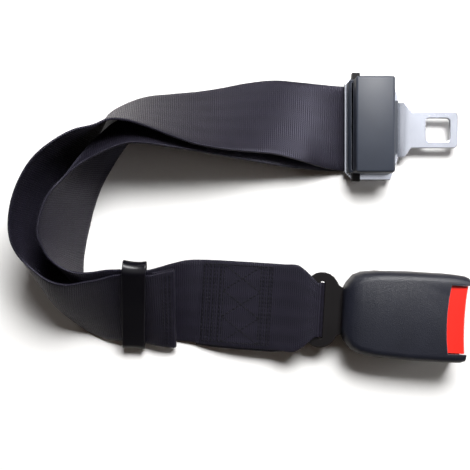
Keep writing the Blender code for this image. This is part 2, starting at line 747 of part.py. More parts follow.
def make_cover(look, parent):
    y = ADJUSTER_Y
    bottom = TONGUE_RISE + TONGUE_THICK + GAP
    made = add("adjuster_cover", profile_prism(cover_profile(), y - COVER_HALF, y + COVER_HALF), look, parent)
    bevel(made, COVER_EDGE, 3)
    collar = block(COVER_BACK - 1.5 * MM, COVER_BACK + COLLAR_LENGTH, y - CRANK_HALF + 0.6 * MM,
                   y + CRANK_HALF - 0.6 * MM, bottom, bottom + COLLAR_HEIGHT)
    cut(made, add("cover_collar", collar, None, parent), "UNION")
    low_front = TONGUE_FRONT + TONGUE_RAIL + 0.15 * MM
    room = BAR_RISE + BAR_RADIUS + STRAP_THICK + 4 * GAP
    ceiling = COVER_TOP - COVER_WALL
    hollow = [(low_front, bottom - 2 * MM), (low_front, room - 1.2 * MM), (low_front + 1.5 * MM, room),
              (COVER_FACE + COVER_WALL, room + 1 * MM), (COVER_FACE + COVER_WALL, ceiling),
              (COVER_BACK - COVER_WALL, ceiling), (COVER_BACK - COVER_WALL, bottom - 2 * MM)]
    inner = profile_prism(hollow, y - COVER_HALF + COVER_WALL, y + COVER_HALF - COVER_WALL)
    cut(made, add("cover_hollow", inner, None, parent))
    room = BAR_END_LENGTH / 2 + 2 * GAP
    notch_end = BAR_X + BAR_RADIUS + GAP + BAR_TRAVEL
    notch = block(BAR_X - BAR_END_SHIFT - room, notch_end, y - COVER_HALF - 2 * MM, y + COVER_HALF + 2 * MM,
                  bottom - 2 * MM, BAR_RISE + BAR_RADIUS + GAP)
    cut(made, add("cover_notch", notch, None, parent))
    for side, name in ((-1, "near"), (1, "far")):
        place = y + side * 17 * MM
        leg = block(WINDOW_BACK - 3.6 * MM, WINDOW_BACK - 0.4 * MM, place - 3 * MM, place + 3 * MM,
                    TONGUE_RISE - 1.6 * MM, COVER_TOP - COVER_WALL / 2)
        cut(made, add(f"cover_leg_{name}", leg, None, parent), "UNION")
    return made


def make_anchor_plate(look, parent, drop):
    """Rounded head with the strap slot, and a neck that is riveted to the frame in the housing."""
    low = PLATE_MID - PLATE_THICK / 2
    bar_edge = PLATE_THICK / 2
    middle = bar_edge - PLATE_BAR_WIDTH + PLATE_HEAD_RADIUS
    corner = PLATE_HEAD_HALF - PLATE_HEAD_RADIUS
    waist = middle + PLATE_HEAD_RADIUS + 1.6 * MM
    side = arc((middle, corner), PLATE_HEAD_RADIUS, 180, 32, 9)
    side += [(waist - 1.5 * MM, PLATE_NECK_HALF + 1.4 * MM), (waist + 1 * MM, PLATE_NECK_HALF)]
    side += [(PLATE_END, PLATE_NECK_HALF)]
    outline = side + [(x, -y) for x, y in reversed(side)]
    slot = rounded(box_outline(bar_edge, bar_edge + SLOT_WIDTH, -SLOT_HALF, SLOT_HALF), 1.2 * MM)
    holes = [arc((x, 0.0), RIVET_RADIUS + PIN_CLEARANCE, 0, 337.5, 15) for x in RIVET_PLACES]
    shape = plate(outline, low, low + PLATE_THICK, holes=(slot, *holes))
    made = add("anchor_plate", shape, look, parent, drop=drop)
    bevel(made, 0.35 * MM, 1)
    return made


FRAME_TOP = PLATE_MID - PLATE_THICK / 2 - GAP  # upper face of the frame's base, which the tongue slides on


def make_frame(look, parent, drop):
    """Steel channel: base under the tongue, and side walls that carry the latch."""
    low = FRAME_TOP - FRAME_THICK
    slot_start = EJECTOR_X - EJECTOR_TRAVEL - 2 * GAP
    keel_slot = box_outline(slot_start, EJECTOR_X + EJECTOR_LENGTH, -KEEL_HALF - GAP, KEEL_HALF + GAP)
    holes = [arc((x, 0.0), RIVET_RADIUS + PIN_CLEARANCE, 0, 337.5, 15) for x in RIVET_PLACES]
    base = box_outline(FRAME_START, FRAME_END, -FRAME_HALF, FRAME_HALF)
    shape = plate(base, low, FRAME_TOP, holes=(keel_slot, *holes))
    made = add("buckle_frame", shape, look, parent, drop=drop)
    for side, name in ((-1, "near"), (1, "far")):
        outer = side * FRAME_HALF
        inner = side * (FRAME_HALF - FRAME_THICK)
        wall = loft([[(x, y, z) for x, z in (
            (30 * MM, low), (FRAME_END - 2 * MM, low), (FRAME_END - 5 * MM, FRAME_WALL_TOP - 4 * MM),
            (46 * MM, FRAME_WALL_TOP), (32 * MM, FRAME_WALL_TOP))] for y in (inner, outer)])
        cut(made, add(f"frame_wall_{name}", wall, None, parent, drop=drop), "UNION")
    room = PIN_RADIUS + PIN_CLEARANCE / 2
    hole = turned([(-20 * MM, room), (20 * MM, room)], (PIN_X, 0.0, PIN_RISE), "Y")
    cut(made, add("frame_pin_hole", hole, None, parent, drop=drop))
    return made


def make_rivets(look, parent, drop):
    base = FRAME_TOP - FRAME_THICK
    top = PLATE_MID + PLATE_THICK / 2
    for name, x in zip(("rivet_rear", "rivet_front"), RIVET_PLACES):
        profile = [
            (base - GAP / 3 - RIVET_HEAD_THICK, RIVET_HEAD_RADIUS - 0.8 * MM),
            (base - GAP / 3 - RIVET_HEAD_THICK / 2, RIVET_HEAD_RADIUS),
            (base - GAP / 3, RIVET_HEAD_RADIUS),
            (base - GAP / 3, RIVET_RADIUS),
            (top + GAP / 3, RIVET_RADIUS),
            (top + GAP / 3, RIVET_HEAD_RADIUS),
            (top + GAP / 3 + RIVET_HEAD_THICK / 2, RIVET_HEAD_RADIUS),
            (top + GAP / 3 + RIVET_HEAD_THICK, RIVET_HEAD_RADIUS - 0.8 * MM),
        ]
        add(name, turned(profile, (x, 0.0, 0.0), "Z"), look, parent, drop=drop)


def make_latch(look, parent, drop):
    """Pawl that hangs on its pin and drops its hook into the tongue's window."""
    tip = PIN_X + LATCH_REACH
    ear = PIN_RADIUS + PIN_CLEARANCE + 1.5 * MM
    profile = [
        *arc((PIN_X, PIN_RISE), ear, 90, 250, 6),
        (PIN_X + 2.5 * MM, PIN_RISE - ear + 0.6 * MM),
        (tip - LATCH_THICK - 0.4 * MM, PIN_RISE - LATCH_THICK / 2 - 0.6 * MM),
        (tip - LATCH_THICK, LATCH_TIP_RISE),
        (tip - 0.5 * MM, LATCH_TIP_RISE),
        (tip, LATCH_TIP_RISE + 0.8 * MM),
        (tip, PIN_RISE + LATCH_THICK / 2 - 0.6 * MM),
        (PIN_X + 4.5 * MM, PIN_RISE + LATCH_THICK / 2),
    ]
    origin = (PIN_X, 0.0, PIN_RISE)
    made = add("latch", profile_prism(profile, -LATCH_HALF, LATCH_HALF), look, parent, origin, drop)
    room = PIN_RADIUS + PIN_CLEARANCE
    hole = turned([(-20 * MM, room), (20 * MM, room)], origin, "Y")
    cut(made, add("latch_pin_hole", hole, None, parent, drop=drop))
    for side, name in ((-1, "near"), (1, "far")):
        inner = side * (LATCH_WINDOW_HALF - 1.2 * MM)
        outer = side * (LATCH_HALF + 1 * MM)
        corner = block(tip - LATCH_THICK - 1.2 * MM, tip + 1 * MM, min(inner, outer), max(inner, outer),
                       LATCH_TIP_RISE - 1 * MM, PIN_RISE - LATCH_THICK / 2 - 0.6 * MM)
        cut(made, add(f"hook_corner_{name}", corner, None, parent, drop=drop))
    return made


def make_latch_pin(look, parent, drop):
    half = FRAME_HALF
    profile = [(-half, PIN_RADIUS), (half, PIN_RADIUS)]
    return add("latch_pin", turned(profile, (PIN_X, 0.0, PIN_RISE), "Y"), look, parent, drop=drop)


def make_ejector(look, parent, drop):
    """Slider on the frame's base, guided by a keel in the base's slot."""
    low = FRAME_TOP + GAP
    x0 = EJECTOR_X
    x1 = EJECTOR_X + EJECTOR_LENGTH
    origin = (EJECTOR_X, 0.0, low)
    made = add("ejector", block(x0, x1, -EJECTOR_HALF, EJECTOR_HALF, low, low + EJECTOR_HEIGHT), look, parent,
               origin, drop)
    keel = block(x0 + GAP, x1 - 2 * GAP, -KEEL_HALF, KEEL_HALF, FRAME_TOP - FRAME_THICK - KEEL_DROP,
                 low + EJECTOR_HEIGHT / 2)
    cut(made, add("ejector_keel", keel, None, parent, drop=drop), "UNION")
    return made


def make_springs(look, parent, drop):
    rise = PLATE_MID + PLATE_THICK / 2 + 0.1 * MM
    start = PLATE_END + GAP
    add("ejector_spring", coil((start, 0.0, rise - 0.2 * MM), "X", EJECTOR_X - GAP - start, 6), look, parent,
        drop=drop)
    spring_x = BUTTON_ARM_START - GAP - BUTTON_SPRING_LENGTH
    for side, name in ((-1, "near"), (1, "far")):
        y = side * (FRAME_HALF + 2 * GAP + BUTTON_ARM_THICK / 2 + 0.5 * MM)
        start = (spring_x, y, button_arm_low() + BUTTON_ARM_HEIGHT / 2)
        wire = coil(start, "X", BUTTON_SPRING_LENGTH, 6, radius=1.1 * MM, wire=0.4 * MM)
        add(f"button_spring_{name}", wire, look, parent, drop=drop)
    low = PIN_RISE + LATCH_THICK / 2 + GAP
    high = HOUSING_TOP - HOUSING_WALL - 0.6 * MM - GAP
    wire = coil((PIN_X + 10 * MM, 0.0, low), "Z", high - low, 2.5, wire=0.3 * MM)
    add("latch_spring", wire, look, parent, drop=drop)


def button_arm_low():
    return HOUSING_SPLIT + 0.7 * MM


def make_button(look, parent, drop):
    """Button with a bowed inner edge, a dished front, and two arms back to its springs."""
    low = FRAME_TOP + MOUTH_HEIGHT + GAP
    rings = []
    count = 12
    for step in range(count + 1):
        y = BUTTON_HALF * (2 * step / count - 1)
        bow = BUTTON_BOW * (1 - (y / BUTTON_HALF) ** 2)
        back = BUTTON_START - bow
        front = HOUSING_END + 0.6 * MM - bow * 0.7
        profile = [
            (back, low), (back, BUTTON_TOP), (front - 4.2 * MM, BUTTON_TOP),
            (front - 2.8 * MM, BUTTON_TOP + 0.5 * MM),
            (front - 1.6 * MM, BUTTON_TOP + 0.2 * MM), (front - 0.5 * MM, BUTTON_TOP - 2.2 * MM),
            (front, BUTTON_TOP - 4.5 * MM), (front, low)]
        rings.append([(x, y, z) for x, z in profile])
    made = add("release_button", loft(rings), look, parent, (BUTTON_START, 0.0, low), drop)
    for side, name in ((-1, "near"), (1, "far")):
        inner = side * (FRAME_HALF + 2 * GAP)
        outer = side * (FRAME_HALF + 2 * GAP + BUTTON_ARM_THICK)
        arm = block(BUTTON_ARM_START, BUTTON_START + 2 * MM, min(inner, outer), max(inner, outer),
                    button_arm_low(), low + 2 * MM)
        cut(made, add(f"button_arm_{name}", arm, None, parent, drop=drop), "UNION")
    return made


def housing_rings(inset, stretch=0.0):
    """Rings of the housing from its strap end to its mouth, each a rounded box across the buckle."""
    stations = (
        (0.0, 0.49, 0.24, 0.70, 3.6), (0.7, 0.56, 0.18, 0.76, 4.6), (2.4, 0.70, 0.11, 0.83, 5.4),
        (5.6, 0.855, 0.05, 0.885, 6.0), (10.0, 0.93, 0.015, 0.925, 5.4), (18.0, 0.972, 0.0, 0.96, 4.8),
        (36.0, 1.0, 0.0, 0.995, 4.4), (56.0, 1.0, 0.0, 1.0, 4.2), (64.5, 0.985, 0.0, 0.995, 4.2),
        (66.7, 0.95, 0.01, 0.985, 4.0))
    length = HOUSING_END - HOUSING_START
    rings = []
    for index, (along, wide, low, high, corner) in enumerate(stations):
        x = HOUSING_START + along * length / 66.7
        if inset:
            x = min(max(x, HOUSING_START + inset), HOUSING_END)
            x += stretch if index == len(stations) - 1 else 0.0
        half = HOUSING_HALF * wide - inset
        z0 = HOUSING_TOP * low + inset
        z1 = HOUSING_TOP * high - inset
        radius = max(corner * MM - inset, 0.8 * MM)
        ring = []
        for cy, cz, start in ((half, z1, 0), (-half, z1, 90), (-half, z0, 180), (half, z0, 270)):
            centre = (cy - math.copysign(radius, cy), cz - radius if cz == z1 else cz + radius)
            ring += arc(centre, radius, start, start + 90, 3)
        rings.append([(x, y, z) for y, z in ring])
    if inset:
        rings = [ring for place, ring in enumerate(rings) if place in (0, 3, 4, 5, 6, 7, 9)]
    return rings


def make_housing(look, parent, drop):
    """Two shells round the frame. The mouth and the button's opening are at the far end."""
    low_lip = FRAME_TOP - 0.5 * MM
    mouth_top = FRAME_TOP + MOUTH_HEIGHT
    far = HOUSING_END + 5 * MM
    wide = HOUSING_HALF + 5 * MM
    for name in ("lower_housing", "upper_housing"):
        upper = name == "upper_housing"
        made = add(name, loft(housing_rings(0.0)), look, parent, drop=drop)
        if upper:
            away = block(0.0, far, -wide, wide, -5 * MM, HOUSING_SPLIT + GAP)
        else:
            away = block(0.0, far, -wide, wide, HOUSING_SPLIT, HOUSING_TOP + 5 * MM)
        cut(made, add(f"{name}_half", away, None, parent, drop=drop))
        hollow = loft(housing_rings(HOUSING_WALL, 4 * MM if upper else -HOUSING_WALL))
        cut(made, add(f"{name}_hollow", hollow, None, parent, drop=drop))
        neck = block(0.0, HOUSING_START + 4 * MM, -PLATE_NECK_HALF - 0.6 * MM, PLATE_NECK_HALF + 0.6 * MM,
                     PLATE_MID - PLATE_THICK / 2 - GAP, PLATE_MID + PLATE_THICK / 2 + GAP)
        cut(made, add(f"{name}_neck", neck, None, parent, drop=drop))
        if upper:
            opening = [(x - BUTTON_BOW * (1 - (y / BUTTON_HALF) ** 2), y) for x, y in (
                (BUTTON_START - GAP, BUTTON_HALF * share) for share in (-1.016, -0.6, -0.2, 0.2, 0.6, 1.016))]
            edge = BUTTON_HALF * 1.016
            opening += [(far, edge), (far, -edge)]
            cutter = plate(opening, HOUSING_SPLIT - 2 * MM, HOUSING_TOP + 5 * MM)
        else:
            cutter = block(HOUSING_END - 4 * MM, far, -MOUTH_HALF, MOUTH_HALF, low_lip, mouth_top)
        cut(made, add(f"{name}_mouth", cutter, None, parent, drop=drop))
        if not upper:
            add_lower_supports(made, parent, drop)


def add_lower_supports(made, parent, drop):
    """Ribs under the frame's base, and posts that the button's springs push against."""
    floor = HOUSING_WALL / 2
    for side, name in ((-1, "near"), (1, "far")):
        rib_in = side * 9.5 * MM
        rib_out = side * 12.5 * MM
        rib = block(26 * MM, 64 * MM, min(rib_in, rib_out), max(rib_in, rib_out), floor,
                    FRAME_TOP - FRAME_THICK - GAP)
        cut(made, add(f"rib_{name}", rib, None, parent, drop=drop), "UNION")
        post_in = side * (FRAME_HALF + 2 * GAP)
        post_out = side * (FRAME_HALF + 2 * GAP + BUTTON_ARM_THICK + 1.0 * MM)
        post_end = BUTTON_ARM_START - 2 * GAP - BUTTON_SPRING_LENGTH
        post = block(post_end - 2.6 * MM, post_end, min(post_in, post_out), max(post_in, post_out), floor,
                     button_arm_low() + BUTTON_ARM_HEIGHT)
        cut(made, add(f"post_{name}", post, None, parent, drop=drop), "UNION")


def main():
    clear_scene()
    black_steel = finish("black_steel", (0.03, 0.025, 0.025), 0.4, 0.6)
    bright_steel = finish("bright_steel", (0.72, 0.71, 0.69), 0.22, 1.0)
    zinc_steel = finish("zinc_steel", (0.45, 0.45, 0.43), 0.4, 1.0)
    strap_black = finish("strap_black", (0.018, 0.017, 0.022), 0.5)
    thread_black = finish("thread_black", (0.012, 0.011, 0.015), 0.7)
    band_black = finish("band_black", (0.02, 0.019, 0.024), 0.6)
    cover_black = finish("cover_black", (0.03, 0.032, 0.038), 0.42)
    housing_black = finish("housing_black", (0.028, 0.028, 0.03), 0.5)
    button_red = finish("button_red", (0.85, 0.03, 0.025), 0.35)
    slider_white = finish("slider_white", (0.7, 0.69, 0.64), 0.5)

    root = empty("seat_belt_extender", (-PLAN_CENTRE[0], -PLAN_CENTRE[1], 0.0))
    hinge = empty("buckle_hinge", (*BAR_PLACE, PLATE_MID), BUCKLE_TURN, root)
    drop = PLATE_MID

    make_webbing(strap_black, root)
    make_box_stitching(thread_black, root)
    make_hem_stitching(thread_black, root)
    make_keeper(band_black, root)
    make_tongue_plate(bright_steel, root)
    make_lock_bar(black_steel, root)
    make_cover(cover_black, root)
    make_anchor_plate(black_steel, hinge, drop)
    make_frame(zinc_steel, hinge, drop)
    make_rivets(zinc_steel, hinge, drop)
    make_latch(zinc_steel, hinge, drop)
    make_latch_pin(zinc_steel, hinge, drop)
    make_ejector(slider_white, hinge, drop)
    make_springs(zinc_steel, hinge, drop)
    make_button(button_red, hinge, drop)
    make_housing(housing_black, hinge, drop)


main()
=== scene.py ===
# %% [markdown]
# # A seat belt extender, seen from above
# The imported CAD model is loaded as a fixed frame. Every visible piece is then dressed: either the CAD piece
# keeps its shape and gets a material, or a more detailed piece takes its place.

# %% Load the frame
import json
import math

import bmesh
import bpy
from mathutils import Matrix, Vector


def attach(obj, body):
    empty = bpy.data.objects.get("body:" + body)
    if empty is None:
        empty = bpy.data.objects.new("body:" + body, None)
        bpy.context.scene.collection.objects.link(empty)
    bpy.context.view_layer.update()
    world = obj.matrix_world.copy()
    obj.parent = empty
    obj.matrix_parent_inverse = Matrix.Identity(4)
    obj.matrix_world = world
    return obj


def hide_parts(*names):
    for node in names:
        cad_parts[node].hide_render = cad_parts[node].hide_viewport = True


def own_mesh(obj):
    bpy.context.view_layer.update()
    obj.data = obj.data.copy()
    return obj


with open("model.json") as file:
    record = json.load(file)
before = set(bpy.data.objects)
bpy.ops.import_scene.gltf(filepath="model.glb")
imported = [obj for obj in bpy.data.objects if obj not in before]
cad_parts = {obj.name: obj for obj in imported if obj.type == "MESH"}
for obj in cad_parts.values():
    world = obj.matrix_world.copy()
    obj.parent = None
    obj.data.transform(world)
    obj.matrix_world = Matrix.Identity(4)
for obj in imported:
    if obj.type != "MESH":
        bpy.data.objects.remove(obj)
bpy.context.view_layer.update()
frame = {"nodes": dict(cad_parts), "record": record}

MM = 0.001
nodes = frame["nodes"]

# %% [markdown]
# The photograph looks straight down from about 420 mm over the table. An orthographic camera would be simpler,
# but it would lose the perspective, in which the raised edges of the strap lean outwards. So a pinhole camera
# stands there, with a lens that takes in 269 mm of the table. PLAN_CENTRE is where the middle of the extender
# lies in the picture, measured from the picture's middle.

# %% Camera
PLAN_CENTRE = Vector((4.8, 10.5, 0.0)) * MM
EYE_HEIGHT = 420 * MM
VIEW_WIDTH = 268.57 * MM

lens = bpy.data.cameras.new("camera")
lens.sensor_width = 36.0
lens.lens = lens.sensor_width * EYE_HEIGHT / VIEW_WIDTH
lens.clip_start = 0.01
lens.clip_end = 20.0
camera = bpy.data.objects.new("camera", lens)
camera.location = (-PLAN_CENTRE.x, -PLAN_CENTRE.y, EYE_HEIGHT)
bpy.context.scene.collection.objects.link(camera)
bpy.context.scene.camera = camera
print("lens:", round(lens.lens, 2), "mm")

# %% [markdown]
# Large soft sources lit the photograph. A window beyond the top arm puts a shine on everything that leans that
# way and throws the shadows towards the buckle; weaker light grazes the banked strap from beyond and from the
# right. Many small lamps could copy this but would throw many hard shadows. Three area lamps are enough, because
# the size of an area lamp sets how soft its shadow is. The Standard view transform keeps colours as written.

# %% Lamps
def area_lamp(name, place, target, size, power):
    """Rectangular lamp at a place, turned to face a target."""
    data = bpy.data.lights.new(name, "AREA")
    data.shape = "RECTANGLE"
    data.size, data.size_y = size
    data.energy = power
    lamp = bpy.data.objects.new(name, data)
    lamp.location = place
    lamp.rotation_euler = (Vector(target) - Vector(place)).to_track_quat("-Z", "Y").to_euler()
    bpy.context.scene.collection.objects.link(lamp)


area_lamp("window_lamp", (0.20, 0.62, 0.83), (0.0, 0.0, 0.0), (0.62, 0.38), 19.5)
area_lamp("low_lamp", (-0.45, 0.85, 0.14), (-0.06, 0.06, 0.02), (0.50, 0.20), 2.0)
area_lamp("side_lamp", (0.75, -0.02, 0.19), (-0.09, 0.0, 0.02), (0.30, 0.16), 1.4)
bpy.context.scene.view_settings.view_transform = "Standard"

# %% [markdown]
# ## Node helpers
# Every material below is a tree of nodes. Added by hand, each node takes several lines. So three small functions
# make the kinds that come up again and again, and put() sets an input or links it, whichever is wanted.

# %% Helpers that add nodes
def put(tree, socket, value):
    """Link an input to another socket, or set it to a number or an (r, g, b) colour."""
    if isinstance(value, bpy.types.NodeSocket):
        tree.links.new(value, socket)
    else:
        socket.default_value = (*value, 1.0) if isinstance(value, tuple) else value


def math_node(tree, kind, *values):
    """Math node. Returns its output."""
    node = tree.nodes.new("ShaderNodeMath")
    node.operation = kind
    for socket, value in zip(node.inputs, values):
        put(tree, socket, value)
    return node.outputs[0]


def mix(tree, factor, a, b, kind="FLOAT"):
    """Mix node: a where the factor is 0, b where it is 1. Returns its output."""
    node = tree.nodes.new("ShaderNodeMix")
    node.data_type = kind
    for key, value in (("Factor", factor), ("A", a), ("B", b)):
        put(tree, node.inputs[key], value)
    return node.outputs["Result"]


def spread(tree, value, start, end, low=0.0, high=1.0, kind="LINEAR"):
    """Map Range node: turns start..end into low..high. Returns its output."""
    node = tree.nodes.new("ShaderNodeMapRange")
    node.interpolation_type = kind
    put(tree, node.inputs["Value"], value)
    for key, limit in (("From Min", start), ("From Max", end), ("To Min", low), ("To Max", high)):
        put(tree, node.inputs[key], limit)
    return node.outputs["Result"]


print("helpers:", ", ".join(helper.__name__ for helper in (put, math_node, mix, spread)))

# %% [markdown]
# The world is the room round the table. A picture of a room could light it, but a few numbers do it as well.
# For light that matt surfaces scatter it is dim and warm, which keeps the shadows deep. Shiny surfaces see a pale
# ceiling straight overhead, and the camera sees plain white. The Light Path node tells these rays apart.

# %% World
SKY_FILL = 0.035
SKY_WARMTH = (1.0, 0.76, 0.58)
SKY_CEILING = 0.75
CEILING_EDGE, CEILING_MIDDLE = 0.72, 0.99
WHITE = (1.0, 1.0, 1.0)

world = bpy.data.worlds.new("studio")
bpy.context.scene.world = world
world.use_nodes = True
tree = world.node_tree
background = tree.nodes["Background"]
ray = tree.nodes.new("ShaderNodeLightPath").outputs
way = tree.nodes.new("ShaderNodeSeparateXYZ")
put(tree, way.inputs["Vector"], tree.nodes.new("ShaderNodeTexCoord").outputs["Generated"])
sees_white = math_node(tree, "MAXIMUM", ray["Is Camera Ray"], ray["Is Glossy Ray"])
put(tree, background.inputs["Color"], mix(tree, sees_white, SKY_WARMTH, WHITE, "RGBA"))
ceiling = spread(tree, way.outputs["Z"], CEILING_EDGE, CEILING_MIDDLE, SKY_FILL, SKY_CEILING, "SMOOTHSTEP")
strength = mix(tree, ray["Is Glossy Ray"], SKY_FILL, ceiling)
put(tree, background.inputs["Strength"], mix(tree, ray["Is Camera Ray"], strength, 1.0))
print("world nodes:", len(tree.nodes))

# %% [markdown]
# The extender lies on a plain pale sheet. A shadow catcher could stand for it, but would need something white laid
# behind the render; a real sheet needs nothing added. Its material is almost white to the camera and greyer to
# the light that bounces off it, so the background stays white while the shadow stays deep. Far from the extender,
# where the lamps don't reach, the sheet glows white to the camera, so that it meets the backdrop without an edge.

# %% Floor
FLOOR_HALF = 4.0
FLOOR_NEAR, FLOOR_FAR = 0.17, 0.55
BOUNCE_TONE, SEEN_TONE = (0.56, 0.54, 0.51), (1.0, 0.995, 0.985)


def new_material(name):
    """Material with nodes. Returns it, its node tree and its Principled shader."""
    material = bpy.data.materials.new(name)
    material.use_nodes = True
    return material, material.node_tree, material.node_tree.nodes["Principled BSDF"]


shape = bmesh.new()
bmesh.ops.create_grid(shape, x_segments=1, y_segments=1, size=FLOOR_HALF)
mesh = bpy.data.meshes.new("floor")
shape.to_mesh(mesh)
shape.free()
floor = bpy.data.objects.new("floor", mesh)
bpy.context.scene.collection.objects.link(floor)
paper, tree, skin = new_material("paper")
skin.inputs["Roughness"].default_value = 0.9
skin.inputs["Specular IOR Level"].default_value = 0.1
skin.inputs["Emission Strength"].default_value = 1.0
seen = tree.nodes.new("ShaderNodeLightPath").outputs["Is Camera Ray"]
put(tree, skin.inputs["Base Color"], mix(tree, seen, BOUNCE_TONE, SEEN_TONE, "RGBA"))
away = tree.nodes.new("ShaderNodeVectorMath")
away.operation = "LENGTH"
put(tree, away.inputs[0], tree.nodes.new("ShaderNodeTexCoord").outputs["Object"])
glow = spread(tree, away.outputs["Value"], FLOOR_NEAR, FLOOR_FAR, kind="SMOOTHSTEP")
put(tree, skin.inputs["Emission Color"], math_node(tree, "MULTIPLY", glow, seen))
floor.data.materials.append(paper)
print("floor:", [round(side, 1) for side in floor.dimensions])

# %% [markdown]
# ## Effects that several materials share
# Moulded plastic has a fine leather grain and plated steel a faint one. Modelled grains would take millions of
# faces, and a picture of grain would repeat, so a noise pattern stands for them. A node group is a small machine
# with named inputs and outputs: this one gives the grain's height and a mask of broad patches, and each material
# sets its own grain size. It reads Object coordinates, in metres, so the grain is the same size on every piece.

# %% Grain of moulded plastic and plated steel
def new_group(name, inputs, outputs):
    """Empty node group with float inputs {name: value} and outputs [name]."""
    group = bpy.data.node_groups.new(name, "ShaderNodeTree")
    for key, value in inputs.items():
        socket = group.interface.new_socket(name=key, in_out="INPUT", socket_type="NodeSocketFloat")
        socket.default_value = value
    for key in outputs:
        group.interface.new_socket(name=key, in_out="OUTPUT", socket_type="NodeSocketFloat")
    return group, group.nodes.new("NodeGroupInput"), group.nodes.new("NodeGroupOutput")


def noise(tree, place, scale, detail=2.0, roughness=0.5):
    """Noise texture at a place, with about scale waves a metre. Returns its value."""
    node = tree.nodes.new("ShaderNodeTexNoise")
    for key, value in (("Vector", place), ("Scale", scale), ("Detail", detail), ("Roughness", roughness)):
        put(tree, node.inputs[key], value)
    return node.outputs["Fac"]


grain_group, came, goes = new_group("fine_grain", {"Grains per metre": 2500.0, "Patches per metre": 60.0},
                                    ["Height", "Patches"])
place = grain_group.nodes.new("ShaderNodeTexCoord").outputs["Object"]
fine = noise(grain_group, place, came.outputs["Grains per metre"])
broad = noise(grain_group, place, came.outputs["Patches per metre"], 3.0, 0.55)
put(grain_group, goes.inputs["Height"], fine)
put(grain_group, goes.inputs["Patches"], broad)
print("group:", grain_group.name)

# %% [markdown]
# Edges of real things are never dead sharp, and handling polishes them. The edges get a paler tone, partly for
# that rubbing and partly as a painted highlight along the rounded edge. Painting the edges by hand would have to
# be done again for each change of shape, so a mask finds them: it compares the true normal with one that has been
# rounded over a small radius, and they differ only near an edge. A little noise breaks the mask up, so that the
# pale edge isn't a drawn line.

# %% Paler edges: rubbing and painted highlight
WEAR_AND_HIGHLIGHT_RADIUS = 0.7 * MM
WEAR_AND_HIGHLIGHT_GAIN = 6.0


def clamped(tree, value):
    """Clamp node: keeps a value between 0 and 1. Returns its output."""
    node = tree.nodes.new("ShaderNodeClamp")
    put(tree, node.inputs["Value"], value)
    return node.outputs["Result"]


# The mask marks the edges for a paler tone: partly rubbing, partly painted highlight.
wear_and_highlight_group, came, goes = new_group("edge_wear_and_highlight", {"Spots per metre": 900.0}, ["Wear"])
soft = wear_and_highlight_group.nodes.new("ShaderNodeBevel")
soft.samples = 4
soft.inputs["Radius"].default_value = WEAR_AND_HIGHLIGHT_RADIUS
true = wear_and_highlight_group.nodes.new("ShaderNodeNewGeometry")
dot = wear_and_highlight_group.nodes.new("ShaderNodeVectorMath")
dot.operation = "DOT_PRODUCT"
put(wear_and_highlight_group, dot.inputs[0], soft.outputs["Normal"])
put(wear_and_highlight_group, dot.inputs[1], true.outputs["Normal"])
place = wear_and_highlight_group.nodes.new("ShaderNodeTexCoord").outputs["Object"]
spots = noise(wear_and_highlight_group, place, came.outputs["Spots per metre"], 3.0)
edge = math_node(wear_and_highlight_group, "SUBTRACT", 1.0, dot.outputs["Value"])
edge = math_node(wear_and_highlight_group, "MULTIPLY", edge, WEAR_AND_HIGHLIGHT_GAIN)
edge = math_node(wear_and_highlight_group, "MULTIPLY", edge, spots)
put(wear_and_highlight_group, goes.inputs["Wear"], clamped(wear_and_highlight_group, edge))
print("group:", wear_and_highlight_group.name)

# %% [markdown]
# ## Plain finishes
# The housing is grained black plastic, the button red plastic, the tongue bright nickel. One material could be
# built by hand for each, but they share their parts. So one function makes each of them: a base colour that
# drifts a little from patch to patch, a paler tone on the edges that is partly rubbing and partly painted
# highlight, a roughness that follows the patches, and the grain as a bump. Each real finish is then one call with
# its own numbers.

# %% A finish with grain, patches, and paler edges that are partly painted highlight
def use_group(tree, group):
    """Node that holds a node group."""
    node = tree.nodes.new("ShaderNodeGroup")
    node.node_tree = group
    return node


def add_bump(tree, skin, height, depth):
    """Dents that follow a height pattern, with a depth in metres."""
    bump = tree.nodes.new("ShaderNodeBump")
    put(tree, bump.inputs["Distance"], depth)
    put(tree, bump.inputs["Height"], height)
    put(tree, skin.inputs["Normal"], bump.outputs["Normal"])


def finish(name, colour, wear_and_highlight_tone, roughness, grain, depth, metallic=0.0, drift=0.25, specular=0.5):
    """Principled material. grain is in grains a metre, depth in metres; drift says how much the patches vary."""
    material, tree, skin = new_material(name)
    skin.inputs["Metallic"].default_value = metallic
    skin.inputs["Specular IOR Level"].default_value = specular
    pattern = use_group(tree, grain_group)
    pattern.inputs["Grains per metre"].default_value = grain
    wear_and_highlight = use_group(tree, wear_and_highlight_group)
    dark = tuple(c * (1 - drift) for c in colour)
    pale = tuple(min(c * (1 + drift), 1.0) for c in colour)
    base = mix(tree, pattern.outputs["Patches"], dark, pale, "RGBA")
    # The paler edge tone is partly rubbing and partly painted highlight.
    put(tree, skin.inputs["Base Color"], mix(tree, wear_and_highlight.outputs["Wear"], base, wear_and_highlight_tone, "RGBA"))
    low, high = roughness * (1 - drift), roughness * (1 + drift)
    put(tree, skin.inputs["Roughness"], spread(tree, pattern.outputs["Patches"], 0.0, 1.0, low, high))
    add_bump(tree, skin, pattern.outputs["Height"], depth)
    return material


